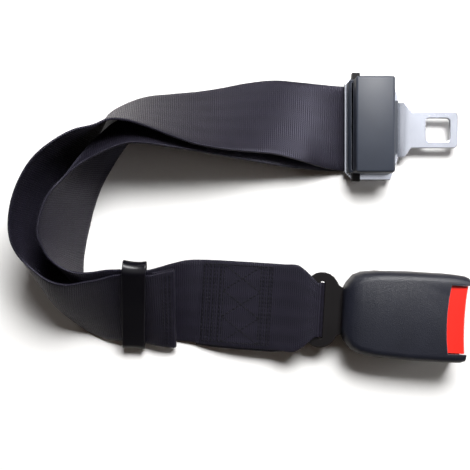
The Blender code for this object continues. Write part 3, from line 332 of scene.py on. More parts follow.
# The second colour of each finish is its paler edge tone, partly rubbing and partly painted highlight.
FINISHES = {
    "bright_steel": finish("bright_nickel", (0.68, 0.71, 0.80), (0.85, 0.86, 0.90), 0.20, 1400.0, 0.01 * MM,
                           metallic=0.9, drift=0.10),
    "black_steel": finish("black_oxide", (0.005, 0.0040, 0.0045), (0.04, 0.034, 0.034), 0.46, 3000.0, 0.02 * MM,
                          specular=0.15),
    "zinc_steel": finish("zinc_plate", (0.50, 0.49, 0.46), (0.7, 0.7, 0.68), 0.38, 2000.0, 0.01 * MM,
                         metallic=1.0),
    "cover": finish("cover_plastic", (0.030, 0.036, 0.052), (0.30, 0.32, 0.38), 0.42, 2600.0, 0.02 * MM,
                    drift=0.2, specular=0.4),
    "housing": finish("grained_plastic", (0.011, 0.012, 0.020), (0.12, 0.12, 0.14), 0.36, 2400.0, 0.16 * MM,
                      specular=0.38),
    "button": finish("red_plastic", (0.86, 0.025, 0.016), (0.95, 0.08, 0.05), 0.36, 1500.0, 0.01 * MM,
                     drift=0.05, specular=0.3),
    "slider": finish("white_plastic", (0.70, 0.69, 0.64), (0.8, 0.79, 0.75), 0.45, 1500.0, 0.02 * MM, drift=0.08),
}
print("finishes:", ", ".join(sorted(FINISHES)))

# %% [markdown]
# ## Webbing
# Belt webbing is a thick narrow weave. Across it run fine ribs, about 1.1 mm apart, where the weft beats up the
# warp; along it the warp ends lie in columns, gathered in five broad panels that shine differently. Modelled
# threads would take millions of faces, so sine waves make the pattern. It has to follow the strap through its
# turn, so it reads a UV map that holds metres across and metres along.

# %% Weave of the strap, on its own UV map
STRAP_WIDTH = 48 * MM
PANELS = 5
STAGGER = 0.35
END_SHARE = 0.07
FULL_TURN = 2 * math.pi
FIBRE_SCALE = (900.0, 35.0, 1.0)

weave_group, came, goes = new_group("belt_weave", {"Ribs per metre": 870.0, "Ends per metre": 1500.0},
                                    ["Height", "Panels", "Fuzz"])
uv = weave_group.nodes.new("ShaderNodeUVMap")
uv.uv_map = "weave"
split = weave_group.nodes.new("ShaderNodeSeparateXYZ")
put(weave_group, split.inputs["Vector"], uv.outputs["UV"])
across, along = split.outputs["X"], split.outputs["Y"]


def weave_math(kind, *values):
    return math_node(weave_group, kind, *values)


ribs = weave_math("MULTIPLY", along, came.outputs["Ribs per metre"])
ends = weave_math("MULTIPLY", across, came.outputs["Ends per metre"])
every_other = weave_math("PINGPONG", weave_math("MULTIPLY", weave_math("FLOOR", ends), 0.5), 0.5)
shifted = weave_math("ADD", ribs, weave_math("MULTIPLY", every_other, STAGGER))
rib_wave = weave_math("SINE", weave_math("MULTIPLY", shifted, FULL_TURN))
end_wave = weave_math("SINE", weave_math("MULTIPLY", ends, FULL_TURN))
height = weave_math("MULTIPLY_ADD", rib_wave, 0.5, weave_math("MULTIPLY", end_wave, END_SHARE))
panel = weave_math("SINE", weave_math("MULTIPLY", across, FULL_TURN * PANELS / STRAP_WIDTH))
panel = weave_math("MULTIPLY_ADD", panel, 1.3, 0.5)
fibres = weave_group.nodes.new("ShaderNodeMapping")
fibres.inputs["Scale"].default_value = FIBRE_SCALE
put(weave_group, fibres.inputs["Vector"], uv.outputs["UV"])
put(weave_group, goes.inputs["Height"], height)
put(weave_group, goes.inputs["Panels"], clamped(weave_group, panel))
put(weave_group, goes.inputs["Fuzz"], noise(weave_group, fibres.outputs["Vector"], 1.0, 3.0))
print("group:", weave_group.name)

# %% [markdown]
# The yarn itself is black polyester with a cool sheen. The valleys between the ribs are duller than their crests
# and carry painted shade, much darker than the crests; the panels differ a little in tone and in gloss, and the
# filaments streak along the strap. A bump alone would show the ribs only where a lamp grazes them, so height
# changes the roughness too, and the colour as painted shade in the valleys.

# %% Material of the strap
# The first colour is painted shade in the valleys between the ribs, the second the colour of the crests.
VALLEY_SHADE, CREST = (0.0002, 0.0002, 0.0004), (0.022, 0.0195, 0.032)
WEAVE_DEPTH = 0.15 * MM
YARN_ROUGHNESS = 0.27
DULL, GLOSSY = 1.9, 0.9
YARN_VALUES = {
    "Specular IOR Level": 0.32,
    "Specular Tint": (0.80, 0.78, 1.0),
    "Sheen Weight": 0.14,
    "Sheen Roughness": 0.30,
    "Sheen Tint": (0.62, 0.60, 0.85),
}

webbing, tree, skin = new_material("black_webbing")
for key, value in YARN_VALUES.items():
    put(tree, skin.inputs[key], value)
weave = use_group(tree, weave_group).outputs
# Rib height sets painted shade in the valleys; panels and streaks add the yarn's own tone.
lift = math_node(tree, "MULTIPLY_ADD", weave["Height"], 1.0, 0.45)
lift = math_node(tree, "MULTIPLY_ADD", weave["Panels"], 0.16, lift)
streak = math_node(tree, "MULTIPLY_ADD", weave["Fuzz"], 0.8, 0.45)
lift = clamped(tree, math_node(tree, "MULTIPLY", lift, streak))
put(tree, skin.inputs["Base Color"], mix(tree, lift, VALLEY_SHADE, CREST, "RGBA"))
polish = math_node(tree, "MULTIPLY_ADD", weave["Height"], 0.9, 0.5)
polish = math_node(tree, "MULTIPLY_ADD", weave["Panels"], 0.10, polish)
gloss = spread(tree, polish, 0.0, 1.0, YARN_ROUGHNESS * DULL, YARN_ROUGHNESS * GLOSSY)
put(tree, skin.inputs["Roughness"], gloss)
add_bump(tree, skin, weave["Height"], WEAVE_DEPTH)
FINISHES["strap"] = webbing
print("strap finish:", webbing.name)

# %% [markdown]
# ## The strap's path
# The strap is one flat band that is bent and twisted but never stretched. A cloth simulation could drop it into
# place, but would not land on the photograph's shape; so it is laid out from given stations. At each station along
# it three points are enough: its outer edge, its middle and its inner edge. The path is the one the CAD solid has,
# in the picture's frame, and is moved to the extender's own frame at the end.

# %% Stations of the sewn loop at the buckle
STRAP_THICK = 1.2 * MM
LAYER_PITCH = 1.5 * MM
GATHERED_WIDTH = 30 * MM
GATHER_LENGTH = 10.5 * MM
BAR_PLACE = Vector((45.2, -41.3, 0.0)) * MM
BUCKLE_TURN = math.radians(-3.4)
SEWN_START, SEWN_END, TWIST_START = -66 * MM, -25 * MM, -38 * MM
SEWN_TWIST = math.radians(8.5)
TAIL_SHIFT = 1.4 * MM
SEWN_SLOPE = 0.10
SEWN_END_RISE = 10.2 * MM


def flat_station(outer, inner):
    """Station whose middle lies straight between its edges."""
    return outer, (outer + inner) / 2, inner


def buckle_point(x, y, z):
    """Point measured from the bar of the anchor plate, along the buckle."""
    return BAR_PLACE + Matrix.Rotation(BUCKLE_TURN, 3, "Z") @ Vector((x, y, z))


def sewn_rise(x):
    """Height of the sewn stretch, which climbs towards the buckle."""
    return SEWN_END_RISE + (x - SEWN_END) * SEWN_SLOPE


def sewn_point(x, y, lift):
    """Point over the sewn stretch, which twists from the buckle's plane to the bank of the arm."""
    bank = SEWN_TWIST * max(0.0, (TWIST_START - x) / (TWIST_START - SEWN_START)) ** 2
    rise = y * math.sin(bank) + lift * math.cos(bank)
    return buckle_point(x, y * math.cos(bank) - lift * math.sin(bank), sewn_rise(x) + rise)


def sewn_station(x, lift=0.0, shift=0.0):
    """Station across the sewn stretch."""
    half = STRAP_WIDTH / 2
    return flat_station(sewn_point(x, shift - half, lift), sewn_point(x, shift + half, lift))


def buckle_station(x, z, width, shift=0.0):
    """Level station near the anchor plate."""
    return flat_station(buckle_point(x, shift - width / 2, z), buckle_point(x, shift + width / 2, z))


# %% [markdown]
# At the buckle the strap runs through the slot of the anchor plate, which is narrower than the strap, and is sewn
# back onto itself. The loop is drawn as a side view, like a bent wire, and each of its points gets the width that
# the slot leaves there. That keeps the two sewn layers exactly one pitch apart.

# %% Loop round the bar of the anchor plate
def arc(centre, radius, start, end, steps):
    """Points on an arc, from one angle in degrees to another."""
    angles = [math.radians(start + (end - start) * i / steps) for i in range(steps + 1)]
    return [(centre[0] + radius * math.cos(a), centre[1] + radius * math.sin(a)) for a in angles]


def gathered(x):
    """Width of the strap near the slot of the anchor plate, which squeezes it."""
    share = min(max((x + GATHER_LENGTH) / GATHER_LENGTH, 0.0), 1.0)
    return STRAP_WIDTH - (STRAP_WIDTH - GATHERED_WIDTH) * share


def buckle_loop():
    """Sewn-back end, round the bar of the anchor plate, and back on top."""
    bend, plate_mid, head, sag = 2.6 * MM, 12 * MM, -6.8 * MM, 1.1 * MM
    sewn = [SEWN_START + (SEWN_END - SEWN_START) * step / 10 for step in range(11)]
    stations = [sewn_station(x, -LAYER_PITCH, -TAIL_SHIFT) for x in sewn]
    low = sewn_rise(SEWN_END) - LAYER_PITCH
    for x, drop in ((-16 * MM, sag * 0.7), (head, sag)):
        stations.append(buckle_station(x, low - drop, gathered(x), -TAIL_SHIFT / 2))
    for x, z in arc((0.0, plate_mid), bend, -110, 92, 9):
        stations.append(buckle_station(x, z, GATHERED_WIDTH))
    top = plate_mid + bend
    for x, share, bulge in ((head, 0.04, 1.0), (head - 5 * MM, 0.25, 0.9), (-19 * MM, 0.68, 0.4)):
        rise = top + (sewn_rise(SEWN_END) - top) * share + bulge * sag
        stations.append(buckle_station(x, rise, gathered(x)))
    stations += [sewn_station(x) for x in reversed(sewn[1:])]
    stations.append(sewn_station(SEWN_START + 0.5 * MM))
    return stations


print("sewn loop:", len(buckle_loop()), "stations")

# %% [markdown]
# From the sewn loop the strap leans over and stands on its outer edge round the U-turn. Each row below is the
# outer edge in millimetres, the compass direction in which the inner edge lies from it, how steeply the strap is
# banked, and how far its middle bows sideways, where the strap bulges between its edges. The rows were fitted
# one by one, because no formula gives the way a real strap happens to lie.

# %% Stations of the two layers of the U-turn
def lean(x, y, z, heading, bank, bow=0.0, bow_heading=0.0):
    """Station from one row of the tables below. A bowed strap spans less between its edges."""
    outer = Vector((x, y, z)) * MM
    flat = math.cos(math.radians(bank))
    way = Vector((flat * math.cos(math.radians(heading)), flat * math.sin(math.radians(heading)),
                  math.sin(math.radians(bank))))
    sag = bow * MM
    chord = STRAP_WIDTH - 8 * sag ** 2 / (3 * STRAP_WIDTH)
    side = Vector((math.cos(math.radians(bow_heading)), math.sin(math.radians(bow_heading)), 0.0))
    inner = outer + way * chord
    return outer, (outer + inner) / 2 + side * sag, inner


UNDER_LAYER = (
    (-27, -60.4, 2.0, 89, 14), (-34, -59.9, 1.2, 89, 21.5), (-40.5, -59.3, 1.8, 90, 29),
    (-46, -58.7, 3.3, 90, 33.5), (-50, -58.4, 3.9, 90, 35), (-56, -58, 4.0, 90, 35),
    (-63, -57.4, 3.6, 91, 35.5), (-68, -55.4, 2.4, 92.5, 40), (-73, -52.2, 1.0, 94, 47),
    (-79.5, -45, 0.8, 98, 57), (-84, -36, 0.8, 107, 64), (-86.4, -26, 0.8, 121, 69),
    (-86.6, -15, 0.8, 141, 71), (-85.2, -5, 0.8, 163, 70), (-82.9, 5.7, 0.8, 178, 68),
    (-80, 17, 0.8, 187, 67), (-76, 28, 0.8, 198, 65), (-70.5, 38, 0.8, 207, 64, 4, 146),
    (-64.8, 47, 0.8, 214, 63, 7.5, 143), (-58.5, 55, 0.8, 224, 62, 9.5, 138),
    (-51.5, 62.5, 0.8, 234, 60, 10.5, 135), (-43.5, 69.5, 0.8, 242, 56.5, 8, 127),
    (-34.5, 74.8, 0.8, 248, 51.5, 4, 118), (-22.5, 78.6, 0.8, 251, 44.5), (-9, 81.2, 0.8, 254, 37),
    (7, 83.2, 0.8, 257, 28), (22, 84.2, 0.8, 261, 19.5), (37, 84.3, 0.8, 266, 10.5), (50, 84.3, 0.8, 268, 4),
)
TOP_LAYER = (
    (50, 85.2, 2.5, 270, 7), (37.6, 86.4, 2.6, 270, 16), (22.2, 87.6, 2.4, 270, 23.5), (6.3, 86, 2.0, 270, 30.5),
    (-7.4, 83.4, 1.6, 270, 38), (-21, 81.4, 1.0, 272, 45), (-36.5, 80, 0.8, 277, 53),
    (-50.5, 78.4, 0.8, 283, 61), (-63, 74, 0.8, 296, 69), (-72, 68.3, 0.8, 310, 75),
    (-75.2, 62.2, 0.8, 298, 81), (-80.5, 52.5, 0.8, 165, 88), (-86, 43, 0.8, 152, 80),
    (-91, 32.5, 0.8, 151, 73.5), (-93.6, 21.5, 0.8, 153, 68), (-93.8, 11, 0.8, 158, 62.5),
    (-92.9, 1, 0.8, 162, 58.6), (-91.8, -8, 0.8, 161, 56.6), (-91.4, -17.5, 0.8, 153, 56.3),
    (-91.8, -27.5, 0.8, 140, 57, 2, 225), (-92.5, -37.5, 0.8, 121, 60, 4.5, 220),
    (-90.8, -46.5, 0.8, 103, 59.5, 5, 218), (-86, -53, 0.8, 93, 54.5, 4, 216),
    (-79.5, -56.7, 0.9, 89, 47.5, 2, 220), (-71.5, -58.8, 2.9, 90, 42),
    (-63, -59.6, 4.6, 90.5, 36.5), (-55.5, -60.1, 4.9, 90.5, 35), (-50, -60.8, 5.4, 90, 34.5),
)
FLAP = ((-44.4, -62.0, 6.2, 90, 31.8), (-39.4, -62.9, 6.0, 90, 27), (-34.6, -63.5, 5.4, 89.5, 22.5))
print("layers:", len(UNDER_LAYER), "and", len(TOP_LAYER), "stations")

# %% [markdown]
# At the tongue the strap goes under the front rail, up behind the lock bar, over it and out again, which is what
# lets it be pulled to length and then grip. The free end is folded back under itself and sewn, so that it can't
# slip out. Both are short bends, so they are drawn as paths seen from the side and given the strap's width.

# %% Stations round the lock bar and of the hem
ADJUSTER_Y = 60.3 * MM
TONGUE_FRONT = 61.6 * MM
BAR_X = 68.8 * MM


def bar_wrap():
    """Stations under the front rail, round the lock bar and back."""
    low, reach, rise = 0.8 * MM, 3.0 * MM, 8.6 * MM
    high = low + LAYER_PITCH + 0.1 * MM
    back, side = BAR_X + 1.5 * MM, BAR_X - 3.0 * MM
    path = [(TONGUE_FRONT, low), (TONGUE_FRONT + 4.6 * MM, low + 0.1 * MM), (back - 0.6 * MM, low + 1.2 * MM)]
    path += [(back + reach - 0.7 * MM, rise - 3.4 * MM)]
    path += arc((back, rise), reach, -8, 90, 4) + arc((BAR_X, rise), reach, 90, 180, 4)
    path += [(side, 5.1 * MM), (side - 0.05 * MM, 3.7 * MM), (side - 0.4 * MM, high + 0.4 * MM)]
    path += [(side - 1.1 * MM, high + 0.05 * MM), (side - 2.4 * MM, high), (TONGUE_FRONT, high)]
    half = STRAP_WIDTH / 2
    return [flat_station(Vector((x, ADJUSTER_Y + half, z)), Vector((x, ADJUSTER_Y - half, z))) for x, z in path]


def offset_station(station, neighbour, slide, lift):
    """Station moved on in the plane of the strap and up from it."""
    along = (station[0] - neighbour[0]).normalized()
    normal = (station[-1] - station[0]).cross(along).normalized()
    if normal.z < 0:
        normal = -normal
    return tuple(edge + along * slide + normal * lift for edge in station)


def hem(last):
    """Stations that fold the free end back under itself."""
    fold = LAYER_PITCH / 2 + 0.3 * MM
    stations = []
    for angle in (60, 30, 0, -30, -60):
        turn = math.radians(angle)
        stations.append(offset_station(last[-1], last[-2], fold * math.cos(turn), fold * (math.sin(turn) - 1)))
    for station, neighbour in ((last[-1], last[-2]), (last[-2], last[-3]), (last[-3], last[-2])):
        stations.append(offset_station(station, neighbour, 0.0, -2 * fold))
    return stations


under_layer = [lean(*row) for row in UNDER_LAYER]
top_layer = [lean(*row) for row in TOP_LAYER]
flap = [lean(*row) for row in FLAP]
stations = buckle_loop() + under_layer + bar_wrap() + top_layer + flap + hem(flap)
print("stations in all:", len(stations))


# %% [markdown]
# The stations are corners so far, and a real strap has none. Blender's curves could round them, but three curves
# have to keep step with each other here. A centripetal Catmull-Rom curve runs smoothly through given points
# without overshooting where they lie unevenly. Both edges and the middle get one each, sampled every 2 mm.

# %% Smooth the stations
ROW_STEP = 2 * MM


def catmull(before, start, end, after, share):
    """Point on the curve between start and end, at a share of the way."""
    times = [0.0]
    for a, b in ((before, start), (start, end), (end, after)):
        times.append(times[-1] + max((b - a).length, 1e-7) ** 0.5)
    t0, t1, t2, t3 = times
    t = t1 + (t2 - t1) * share
    a1 = before * ((t1 - t) / (t1 - t0)) + start * ((t - t0) / (t1 - t0))
    a2 = start * ((t2 - t) / (t2 - t1)) + end * ((t - t1) / (t2 - t1))
    a3 = end * ((t3 - t) / (t3 - t2)) + after * ((t - t2) / (t3 - t2))
    b1 = a1 * ((t2 - t) / (t2 - t0)) + a2 * ((t - t0) / (t2 - t0))
    b2 = a2 * ((t3 - t) / (t3 - t1)) + a3 * ((t - t1) / (t3 - t1))
    return b1 * ((t2 - t) / (t2 - t1)) + b2 * ((t - t1) / (t2 - t1))


def smooth_stations(rough, step):
    """Stations along smooth curves through the rough ones, at most step apart."""
    result, last = [], len(rough) - 1
    for i in range(last):
        around = (rough[max(i - 1, 0)], rough[i], rough[i + 1], rough[min(i + 2, last)])
        length = max((around[2][edge] - around[1][edge]).length for edge in (0, 2))
        parts = max(1, math.ceil(length / step))
        for part in range(parts):
            triple = []
            for edge in (0, 1, 2):
                points = [station[edge] for station in around]
                if i == 0:
                    points[0] = points[1] * 2 - points[2]
                if i + 1 == last:
                    points[3] = points[2] * 2 - points[1]
                triple.append(catmull(*points, part / parts))
            result.append(tuple(triple))
    result.append(rough[last])
    return result


def across_station(station, share):
    """Point at a share of the way across, on the parabola through the three points."""
    outer, middle, inner = station
    rest = 1 - share
    return outer * (rest * (1 - 2 * share)) + middle * (4 * share * rest) + inner * (share * (2 * share - 1))


rows = smooth_stations(stations, ROW_STEP)
run = [0.0]
for low, high in zip(rows, rows[1:]):
    run.append(run[-1] + (high[1] - low[1]).length)


# %% [markdown]
# ## Own pieces
# A piece that isn't a copy of a CAD piece has to say three things: its shape, the body that it rides on when a
# joint moves, and its material slot. One helper does this for every piece below, so that none is forgotten.

# %% Helpers for own pieces
def own_piece(name, shape, body, material):
    """Object from a bmesh: it rides on a body, takes a slot, and gets its material."""
    mesh = bpy.data.meshes.new(name)
    shape.to_mesh(mesh)
    shape.free()
    piece = bpy.data.objects.new(name, mesh)
    bpy.context.scene.collection.objects.link(piece)
    piece.data.materials.append(material)
    for face in mesh.polygons:
        face.use_smooth = True
    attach(piece, body)
    return piece


def add_modifier(piece, name, kind, **settings):
    """Modifier with the given settings, at the end of the stack."""
    modifier = piece.modifiers.new(name, kind)
    for key, value in settings.items():
        setattr(modifier, key, value)


# %% [markdown]
# The slot of the anchor plate squeezes the real strap from 48 mm to 30 mm, so it bunches up and fills the slot.
# Folds could be modelled one by one, but nobody would see them in there. It is enough that the band grows thicker
# on its way round the bar, on the side that faces the far edge of the slot.

# %% Where the strap is bunched
GATHERED_THICK = 2.0 * MM
BUNCH_START, BUNCH_RUN, BUNCH_REACH = 0.6 * MM, 1.4 * MM, 4 * MM
LOOP_END = 120 * MM
BUCKLE_AXIS = Matrix.Rotation(BUCKLE_TURN, 3, "Z") @ Vector((1.0, 0.0, 0.0))


def gathering(station):
    """How far the strap is bunched in the slot of the anchor plate, from 0 to 1."""
    x = (station[1] - BAR_PLACE).dot(BUCKLE_AXIS)
    return min(max((x - BUNCH_START) / BUNCH_RUN, 0.0), 1.0) if abs(x) < BUNCH_REACH else 0.0


bunched = [gathering(row) if way < LOOP_END else 0.0 for row, way in zip(rows, run)]
print("bunched rows:", sum(share > 0 for share in bunched))

# %% [markdown]
# ## The strap itself
# A flat grid is made with one row of vertices for each sampled station, and every vertex is moved onto the
# surface. Its UVs hold metres. Solidify gives the webbing its thickness, more of it where a vertex group says
# that it is bunched, and a small bevel rounds the woven edge. A box of faces could be modelled instead, but the
# two modifiers keep the mesh flat and light, and the thickness stays one number.

# %% Build the strap
LANES = 16
THIN = STRAP_THICK / GATHERED_THICK

shape = bmesh.new()
bmesh.ops.create_grid(shape, x_segments=LANES, y_segments=len(rows) - 1, size=0.5, calc_uvs=False)
uv_layer = shape.loops.layers.uv.new("weave")
uv_of, row_of = {}, []
for vert in shape.verts:
    share = vert.co.x + 0.5
    row = round((vert.co.y + 0.5) * (len(rows) - 1))
    row_of.append(row)
    uv_of[vert] = (share * STRAP_WIDTH, run[row])
    swell = BUCKLE_AXIS * bunched[row] * (GATHERED_THICK - STRAP_THICK) / 2
    vert.co = across_station(rows[row], share) + swell - PLAN_CENTRE
for face in shape.faces:
    for loop in face.loops:
        loop[uv_layer].uv = uv_of[loop.vert]
strap = own_piece("strap", shape, "strap", FINISHES["strap"])
bunch = strap.vertex_groups.new(name="gathered")
for vert, row in enumerate(row_of):
    bunch.add([vert], THIN * (1 - bunched[row]) + bunched[row], "REPLACE")
add_modifier(strap, "thickness", "SOLIDIFY", thickness=GATHERED_THICK, offset=0.0, use_even_offset=True,
             vertex_group="gathered")
add_modifier(strap, "selvedge", "BEVEL", width=0.3 * MM, segments=2, limit_method="ANGLE",
             angle_limit=math.radians(60))
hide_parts("webbing")
print("strap faces:", len(strap.data.polygons))

# %% [markdown]
# ## Finishes of the pieces whose CAD shape is right
# The tongue, the cover, the anchor plate, the housing and the button have their true shape in the CAD model, only
# with sharp edges. Modelling them again would risk a different shape. So each is copied, its loose triangles are
# merged and its flat faces joined, and a bevel rounds its edges as the moulding or stamping does. The copy stands
# for the node. Inner pieces that only show through gaps keep their CAD mesh and get the material.

# %% Round the edges of the rigid pieces
MERGE_DISTANCE = 0.02 * MM
EDGE_ANGLE = math.radians(35.0)
BODY_OF = {node: body for body, members in frame["record"]["behaviour"]["bodies"].items() for node in members}
SLOT_OF = {part["node"]: part["material_slot"] for part in frame["record"]["subparts"]}


def merged_copy(node):
    """Bmesh of a CAD piece, with the corners of its loose triangles merged."""
    shape = bmesh.new()
    shape.from_mesh(nodes[node].data)
    bmesh.ops.remove_doubles(shape, verts=shape.verts, dist=MERGE_DISTANCE)
    return shape


def rounded_copy(node, name, width, segments, flatness):
    """Merged copy of a CAD piece with rounded edges, which stands for that piece."""
    shape = merged_copy(node)
    bmesh.ops.dissolve_limit(shape, angle_limit=math.radians(flatness), verts=shape.verts, edges=shape.edges)
    piece = own_piece(name, shape, BODY_OF[node], FINISHES[SLOT_OF[node]])
    piece.data.set_sharp_from_angle(angle=EDGE_ANGLE)
    add_modifier(piece, "rounding", "BEVEL", width=width, segments=segments, limit_method="ANGLE",
                 angle_limit=EDGE_ANGLE, harden_normals=True, use_clamp_overlap=True)
    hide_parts(node)
    return piece


# Node: name of the copy, width and segments of the rounding, and the angle in degrees below which its faces are
# joined.
ROUNDED = {
    "tongue_plate": ("tongue", 0.6 * MM, 3, 1.0),
    "adjuster_cover": ("cover", 0.35 * MM, 2, 1.0),
    "anchor_plate": ("anchor", 0.4 * MM, 2, 1.0),
    "upper_housing": ("housing_top", 0.6 * MM, 3, 0.1),
    "lower_housing": ("housing_base", 0.5 * MM, 2, 0.1),
    "release_button": ("button", 0.4 * MM, 3, 0.1),
    "lock_bar": ("slide_bar", 0.25 * MM, 2, 0.1),
}
for node, (name, width, segments, flatness) in ROUNDED.items():
    piece = rounded_copy(node, name, width, segments, flatness)
    print(name, "faces:", len(piece.data.polygons))

# %% [markdown]
# ## Coil springs
# A spring stays with the housing at one end and is pressed shorter at the other. Each coil is a merged copy of
# its CAD piece and rides on that piece's body, rigid. The end that stays and the share of its length that would
# be left, which comes from the joint's travel, are worked out; the share is printed.

# %% Springs, and the share of their length that their joints would leave
DOWN = Vector((0.0, 0.0, -1.0))
SPRINGS = (
    ("button_spring_near", "button_coil_near", "button_press", BUCKLE_AXIS, 5.0 * MM),
    ("button_spring_far", "button_coil_far", "button_press", BUCKLE_AXIS, 5.0 * MM),
    ("ejector_spring", "ejector_coil", "ejector_slide", BUCKLE_AXIS, 10.0 * MM),
    ("latch_spring", "latch_coil", "latch_turn", DOWN, 1.6 * MM),
)
for node, name, joint, axis, travel in SPRINGS:
    shape = merged_copy(node)
    reach = [vert.co.dot(axis) for vert in shape.verts]
    length = max(reach) - min(reach)
    fixed_end = min((vert.co for vert in shape.verts), key=lambda place: place.dot(axis)).copy()
    coil = own_piece(name, shape, BODY_OF[node], FINISHES[SLOT_OF[node]])
    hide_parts(node)
    left = (length - travel) / length
    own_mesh(coil)
    print(name, "length:", round(length / MM, 1), "mm, keeps", round(left, 2))

# %% [markdown]
# ## Keeper
# The keeper is a flat ring of rubber that holds the free end down. Its moulded lips flare a little at both edges
# of the strap, which shows in the picture as small horns at its corners. A swept curve could make the ring, but
# its lips would be the same all round. So a flat grid is wrapped round an oval, row by row, which leaves every
# point free to move outwards, and is then thickened.

# %% Build the keeper
# Its second colour is the paler edge tone, partly rubbing and partly painted highlight.
FINISHES["band"] = finish("black_rubber", (0.004, 0.0035, 0.006), (0.04, 0.038, 0.052), 0.30, 2200.0, 0.03 * MM,
                          specular=0.3)
KEEPER_MIDDLE = Vector((-54.9, -38.8, 19.33)) * MM
KEEPER_HALF_LENGTH = 29.7 * MM
KEEPER_HALF_HEIGHT = 4.8 * MM
KEEPER_HALF_WIDTH = 6.2 * MM
KEEPER_WALL = 1.2 * MM
KEEPER_BANK, KEEPER_TURN = math.radians(35.0), math.radians(-4.6)
FLARE, FLARE_START = 1.1 * MM, 0.35


def oval_place(turn_share):
    """Place and outward direction on the flat oval that the band follows, at a share of one turn."""
    radius = KEEPER_HALF_HEIGHT - KEEPER_WALL / 2
    straight = KEEPER_HALF_LENGTH - KEEPER_HALF_HEIGHT
    flat, bend = 2 * straight, math.pi * radius
    way = turn_share * 2 * (flat + bend)
    side = 1 if way < flat + bend else -1
    way = way % (flat + bend)
    if way < flat:
        return Vector((side * (straight - way), side * radius)), Vector((0.0, side))
    angle = math.pi * (way - flat) / bend
    out = Vector((-side * math.sin(angle), side * math.cos(angle)))
    return Vector((-side * straight, 0.0)) + out * radius, out


shape = bmesh.new()
bmesh.ops.create_grid(shape, x_segments=8, y_segments=96, size=0.5)
stand = Matrix(((0, 0, 1), (1, 0, 0), (0, 1, 0))).to_4x4()
tilt = Matrix.Rotation(KEEPER_BANK, 4, "X") @ Matrix.Rotation(KEEPER_TURN, 4, "Z") @ stand
for vert in shape.verts:
    share = vert.co.x * 2
    spot, out = oval_place((vert.co.y + 0.5) % 1.0)
    at_end = abs(out.x) ** 2
    spot = spot + out * FLARE * at_end * (share ** 2 - FLARE_START)
    place = tilt @ Vector((spot.x, spot.y, share * KEEPER_HALF_WIDTH))
    vert.co = place + KEEPER_MIDDLE - PLAN_CENTRE
bmesh.ops.remove_doubles(shape, verts=shape.verts, dist=MERGE_DISTANCE)
bmesh.ops.recalc_face_normals(shape, faces=shape.faces)
keeper = own_piece("keeper_band", shape, "keeper", FINISHES["band"])
add_modifier(keeper, "wall", "SOLIDIFY", thickness=KEEPER_WALL, offset=0.0, use_even_offset=True)
add_modifier(keeper, "lips", "BEVEL", width=0.35 * MM, segments=2, limit_method="ANGLE",
             angle_limit=math.radians(50))
add_modifier(keeper, "smooth", "SUBSURF", levels=1, render_levels=1)
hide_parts("keeper")
print("keeper faces:", len(keeper.data.polygons))

# %% [markdown]
# ## Sewing
# The sewn box and the hem are drawn with separate stitches, as a machine lays them: each is a short plump grain
# of thread that dips into the weave at both ends. A dashed line in the material would be flat from the side. So
# one low sphere is stretched for each stitch, and hundreds of them stay light.

# %% Lay stitches along a line on the strap
# Its second colour is the paler edge tone, partly rubbing and partly painted highlight.
FINISHES["thread"] = finish("black_thread", (0.002, 0.0018, 0.003), (0.008, 0.007, 0.012), 0.6, 4000.0, 0.04 * MM,
                            specular=0.2)
STITCH = 2.3 * MM
STITCH_GAP = 0.08
STITCH_PLUMP = 1.02
THREAD_HALF = 0.36 * MM
THREAD_LIFT = STRAP_THICK / 2 + 0.05 * MM


def lay_stitches(shape, start, end, surface):
    """Stitches from start to end, (x, y) pairs. surface(x, y, lift) gives the point over the strap."""
    start, end = Vector(start), Vector(end)
    count = max(1, round((end - start).length / STITCH))
    for i in range(count):
        a, b = (start.lerp(end, (i + share) / count) for share in (STITCH_GAP, 1 - STITCH_GAP))
        tail, head, half_way = surface(*a, 0.0), surface(*b, 0.0), (a + b) / 2
        up = (surface(*half_way, MM) - surface(*half_way, 0.0)).normalized()
        ahead = (head - tail).normalized()
        beside = up.cross(ahead).normalized()
        size = ((head - tail).length / 2 * STITCH_PLUMP, THREAD_HALF, THREAD_HALF)
        facing = Matrix((ahead, beside, ahead.cross(beside))).transposed().to_4x4()
        place = Matrix.Translation((tail + head) / 2 - PLAN_CENTRE) @ facing @ Matrix.Diagonal((*size, 1.0))
        bmesh.ops.create_uvsphere(shape, u_segments=6, v_segments=5, radius=1.0,
                                  matrix=place @ Matrix.Rotation(math.pi / 2, 4, "Y"))


print("stitch length:", round(STITCH / MM, 1), "mm")

# %% [markdown]
# The box holds the strap's two layers together at the buckle: columns of stitches at both ends, a seam along each
# edge, and a zigzag of crosses between them. The lines are laid on the twisted surface by the same function that
# placed the strap's stations, so they follow it without a projection.

# %% Sew the box at the buckle
def over_sewn(x, y, lift):
    """Point over the sewn stretch of the strap."""
    return sewn_point(x, y, THREAD_LIFT + lift)


SEAM_HALF = STRAP_WIDTH / 2 - 2.2 * MM
LEFT_COLUMNS = (-63.4 * MM, -61.5 * MM, -59.7 * MM, -57.8 * MM, -56.0 * MM, -54.1 * MM, -52.3 * MM)
RIGHT_COLUMNS = (-31.6 * MM, -30.0 * MM, -28.4 * MM, -26.9 * MM, -25.4 * MM)
CROSSES = 3

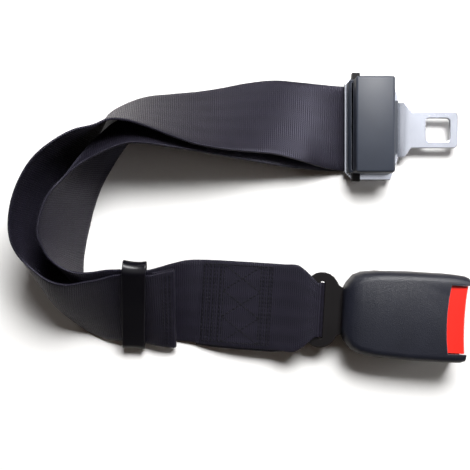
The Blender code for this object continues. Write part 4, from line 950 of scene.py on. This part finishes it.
shape = bmesh.new()
for x in LEFT_COLUMNS + RIGHT_COLUMNS:
    lay_stitches(shape, (x, -SEAM_HALF), (x, SEAM_HALF), over_sewn)
for side in (-1, 1):
    lay_stitches(shape, (LEFT_COLUMNS[0], side * SEAM_HALF), (RIGHT_COLUMNS[-1], side * SEAM_HALF), over_sewn)
left, right = LEFT_COLUMNS[-1], RIGHT_COLUMNS[0]
for i in range(CROSSES):
    low, high = (-SEAM_HALF + 2 * SEAM_HALF * step / CROSSES for step in (i, i + 1))
    lay_stitches(shape, (left, low), (right, high), over_sewn)
    lay_stitches(shape, (left, high), (right, low), over_sewn)
box_sewing = own_piece("box_sewing", shape, "strap", FINISHES["thread"])
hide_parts("box_stitching")
print("box sewing faces:", len(box_sewing.data.polygons))

# %% [markdown]
# Three rows of stitches close the hem of the free end. The flap is curved, so their places are looked up on finer
# rows of its own stations, counted back from the fold.

# %% Sew the hem of the free end
HEM_STEP = 0.8 * MM
HEM_MARGIN = 1.8 * MM
hem_rows = smooth_stations(flap, HEM_STEP)


def over_hem(x, y, lift):
    """Point over the flap, x metres before its fold and y across."""
    back = min(max(x / HEM_STEP, 0.0), len(hem_rows) - 2.001)
    i = len(hem_rows) - 1 - back
    low, share = int(i), i - int(i)
    station = [a.lerp(b, share) for a, b in zip(hem_rows[low], hem_rows[min(low + 1, len(hem_rows) - 1)])]
    ahead = hem_rows[low][0] - hem_rows[max(low - 1, 0)][0]
    normal = ahead.cross(station[2] - station[0]).normalized()
    if normal.z < 0:
        normal = -normal
    return across_station(station, y / STRAP_WIDTH) + normal * (THREAD_LIFT + lift)


shape = bmesh.new()
for x in (1.7 * MM, 4.6 * MM, 7.2 * MM):
    lay_stitches(shape, (x, HEM_MARGIN), (x, STRAP_WIDTH - HEM_MARGIN), over_hem)
hem_sewing = own_piece("hem_sewing", shape, "strap", FINISHES["thread"])
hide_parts("hem_stitching")
print("hem sewing faces:", len(hem_sewing.data.polygons))

# %% [markdown]
# ## Closing steps

# %% [markdown]
# The pieces inside the buckle keep their CAD mesh, and the CAD pieces that a copy stands for stay in the file
# unseen. Every one of them gets the finish of its slot, so that none is left grey if it is shown.

# %% Materials of the CAD pieces
for name, node in nodes.items():
    node.data.materials.clear()
    node.data.materials.append(FINISHES[SLOT_OF[name]])
print("CAD pieces with a finish:", len(nodes))
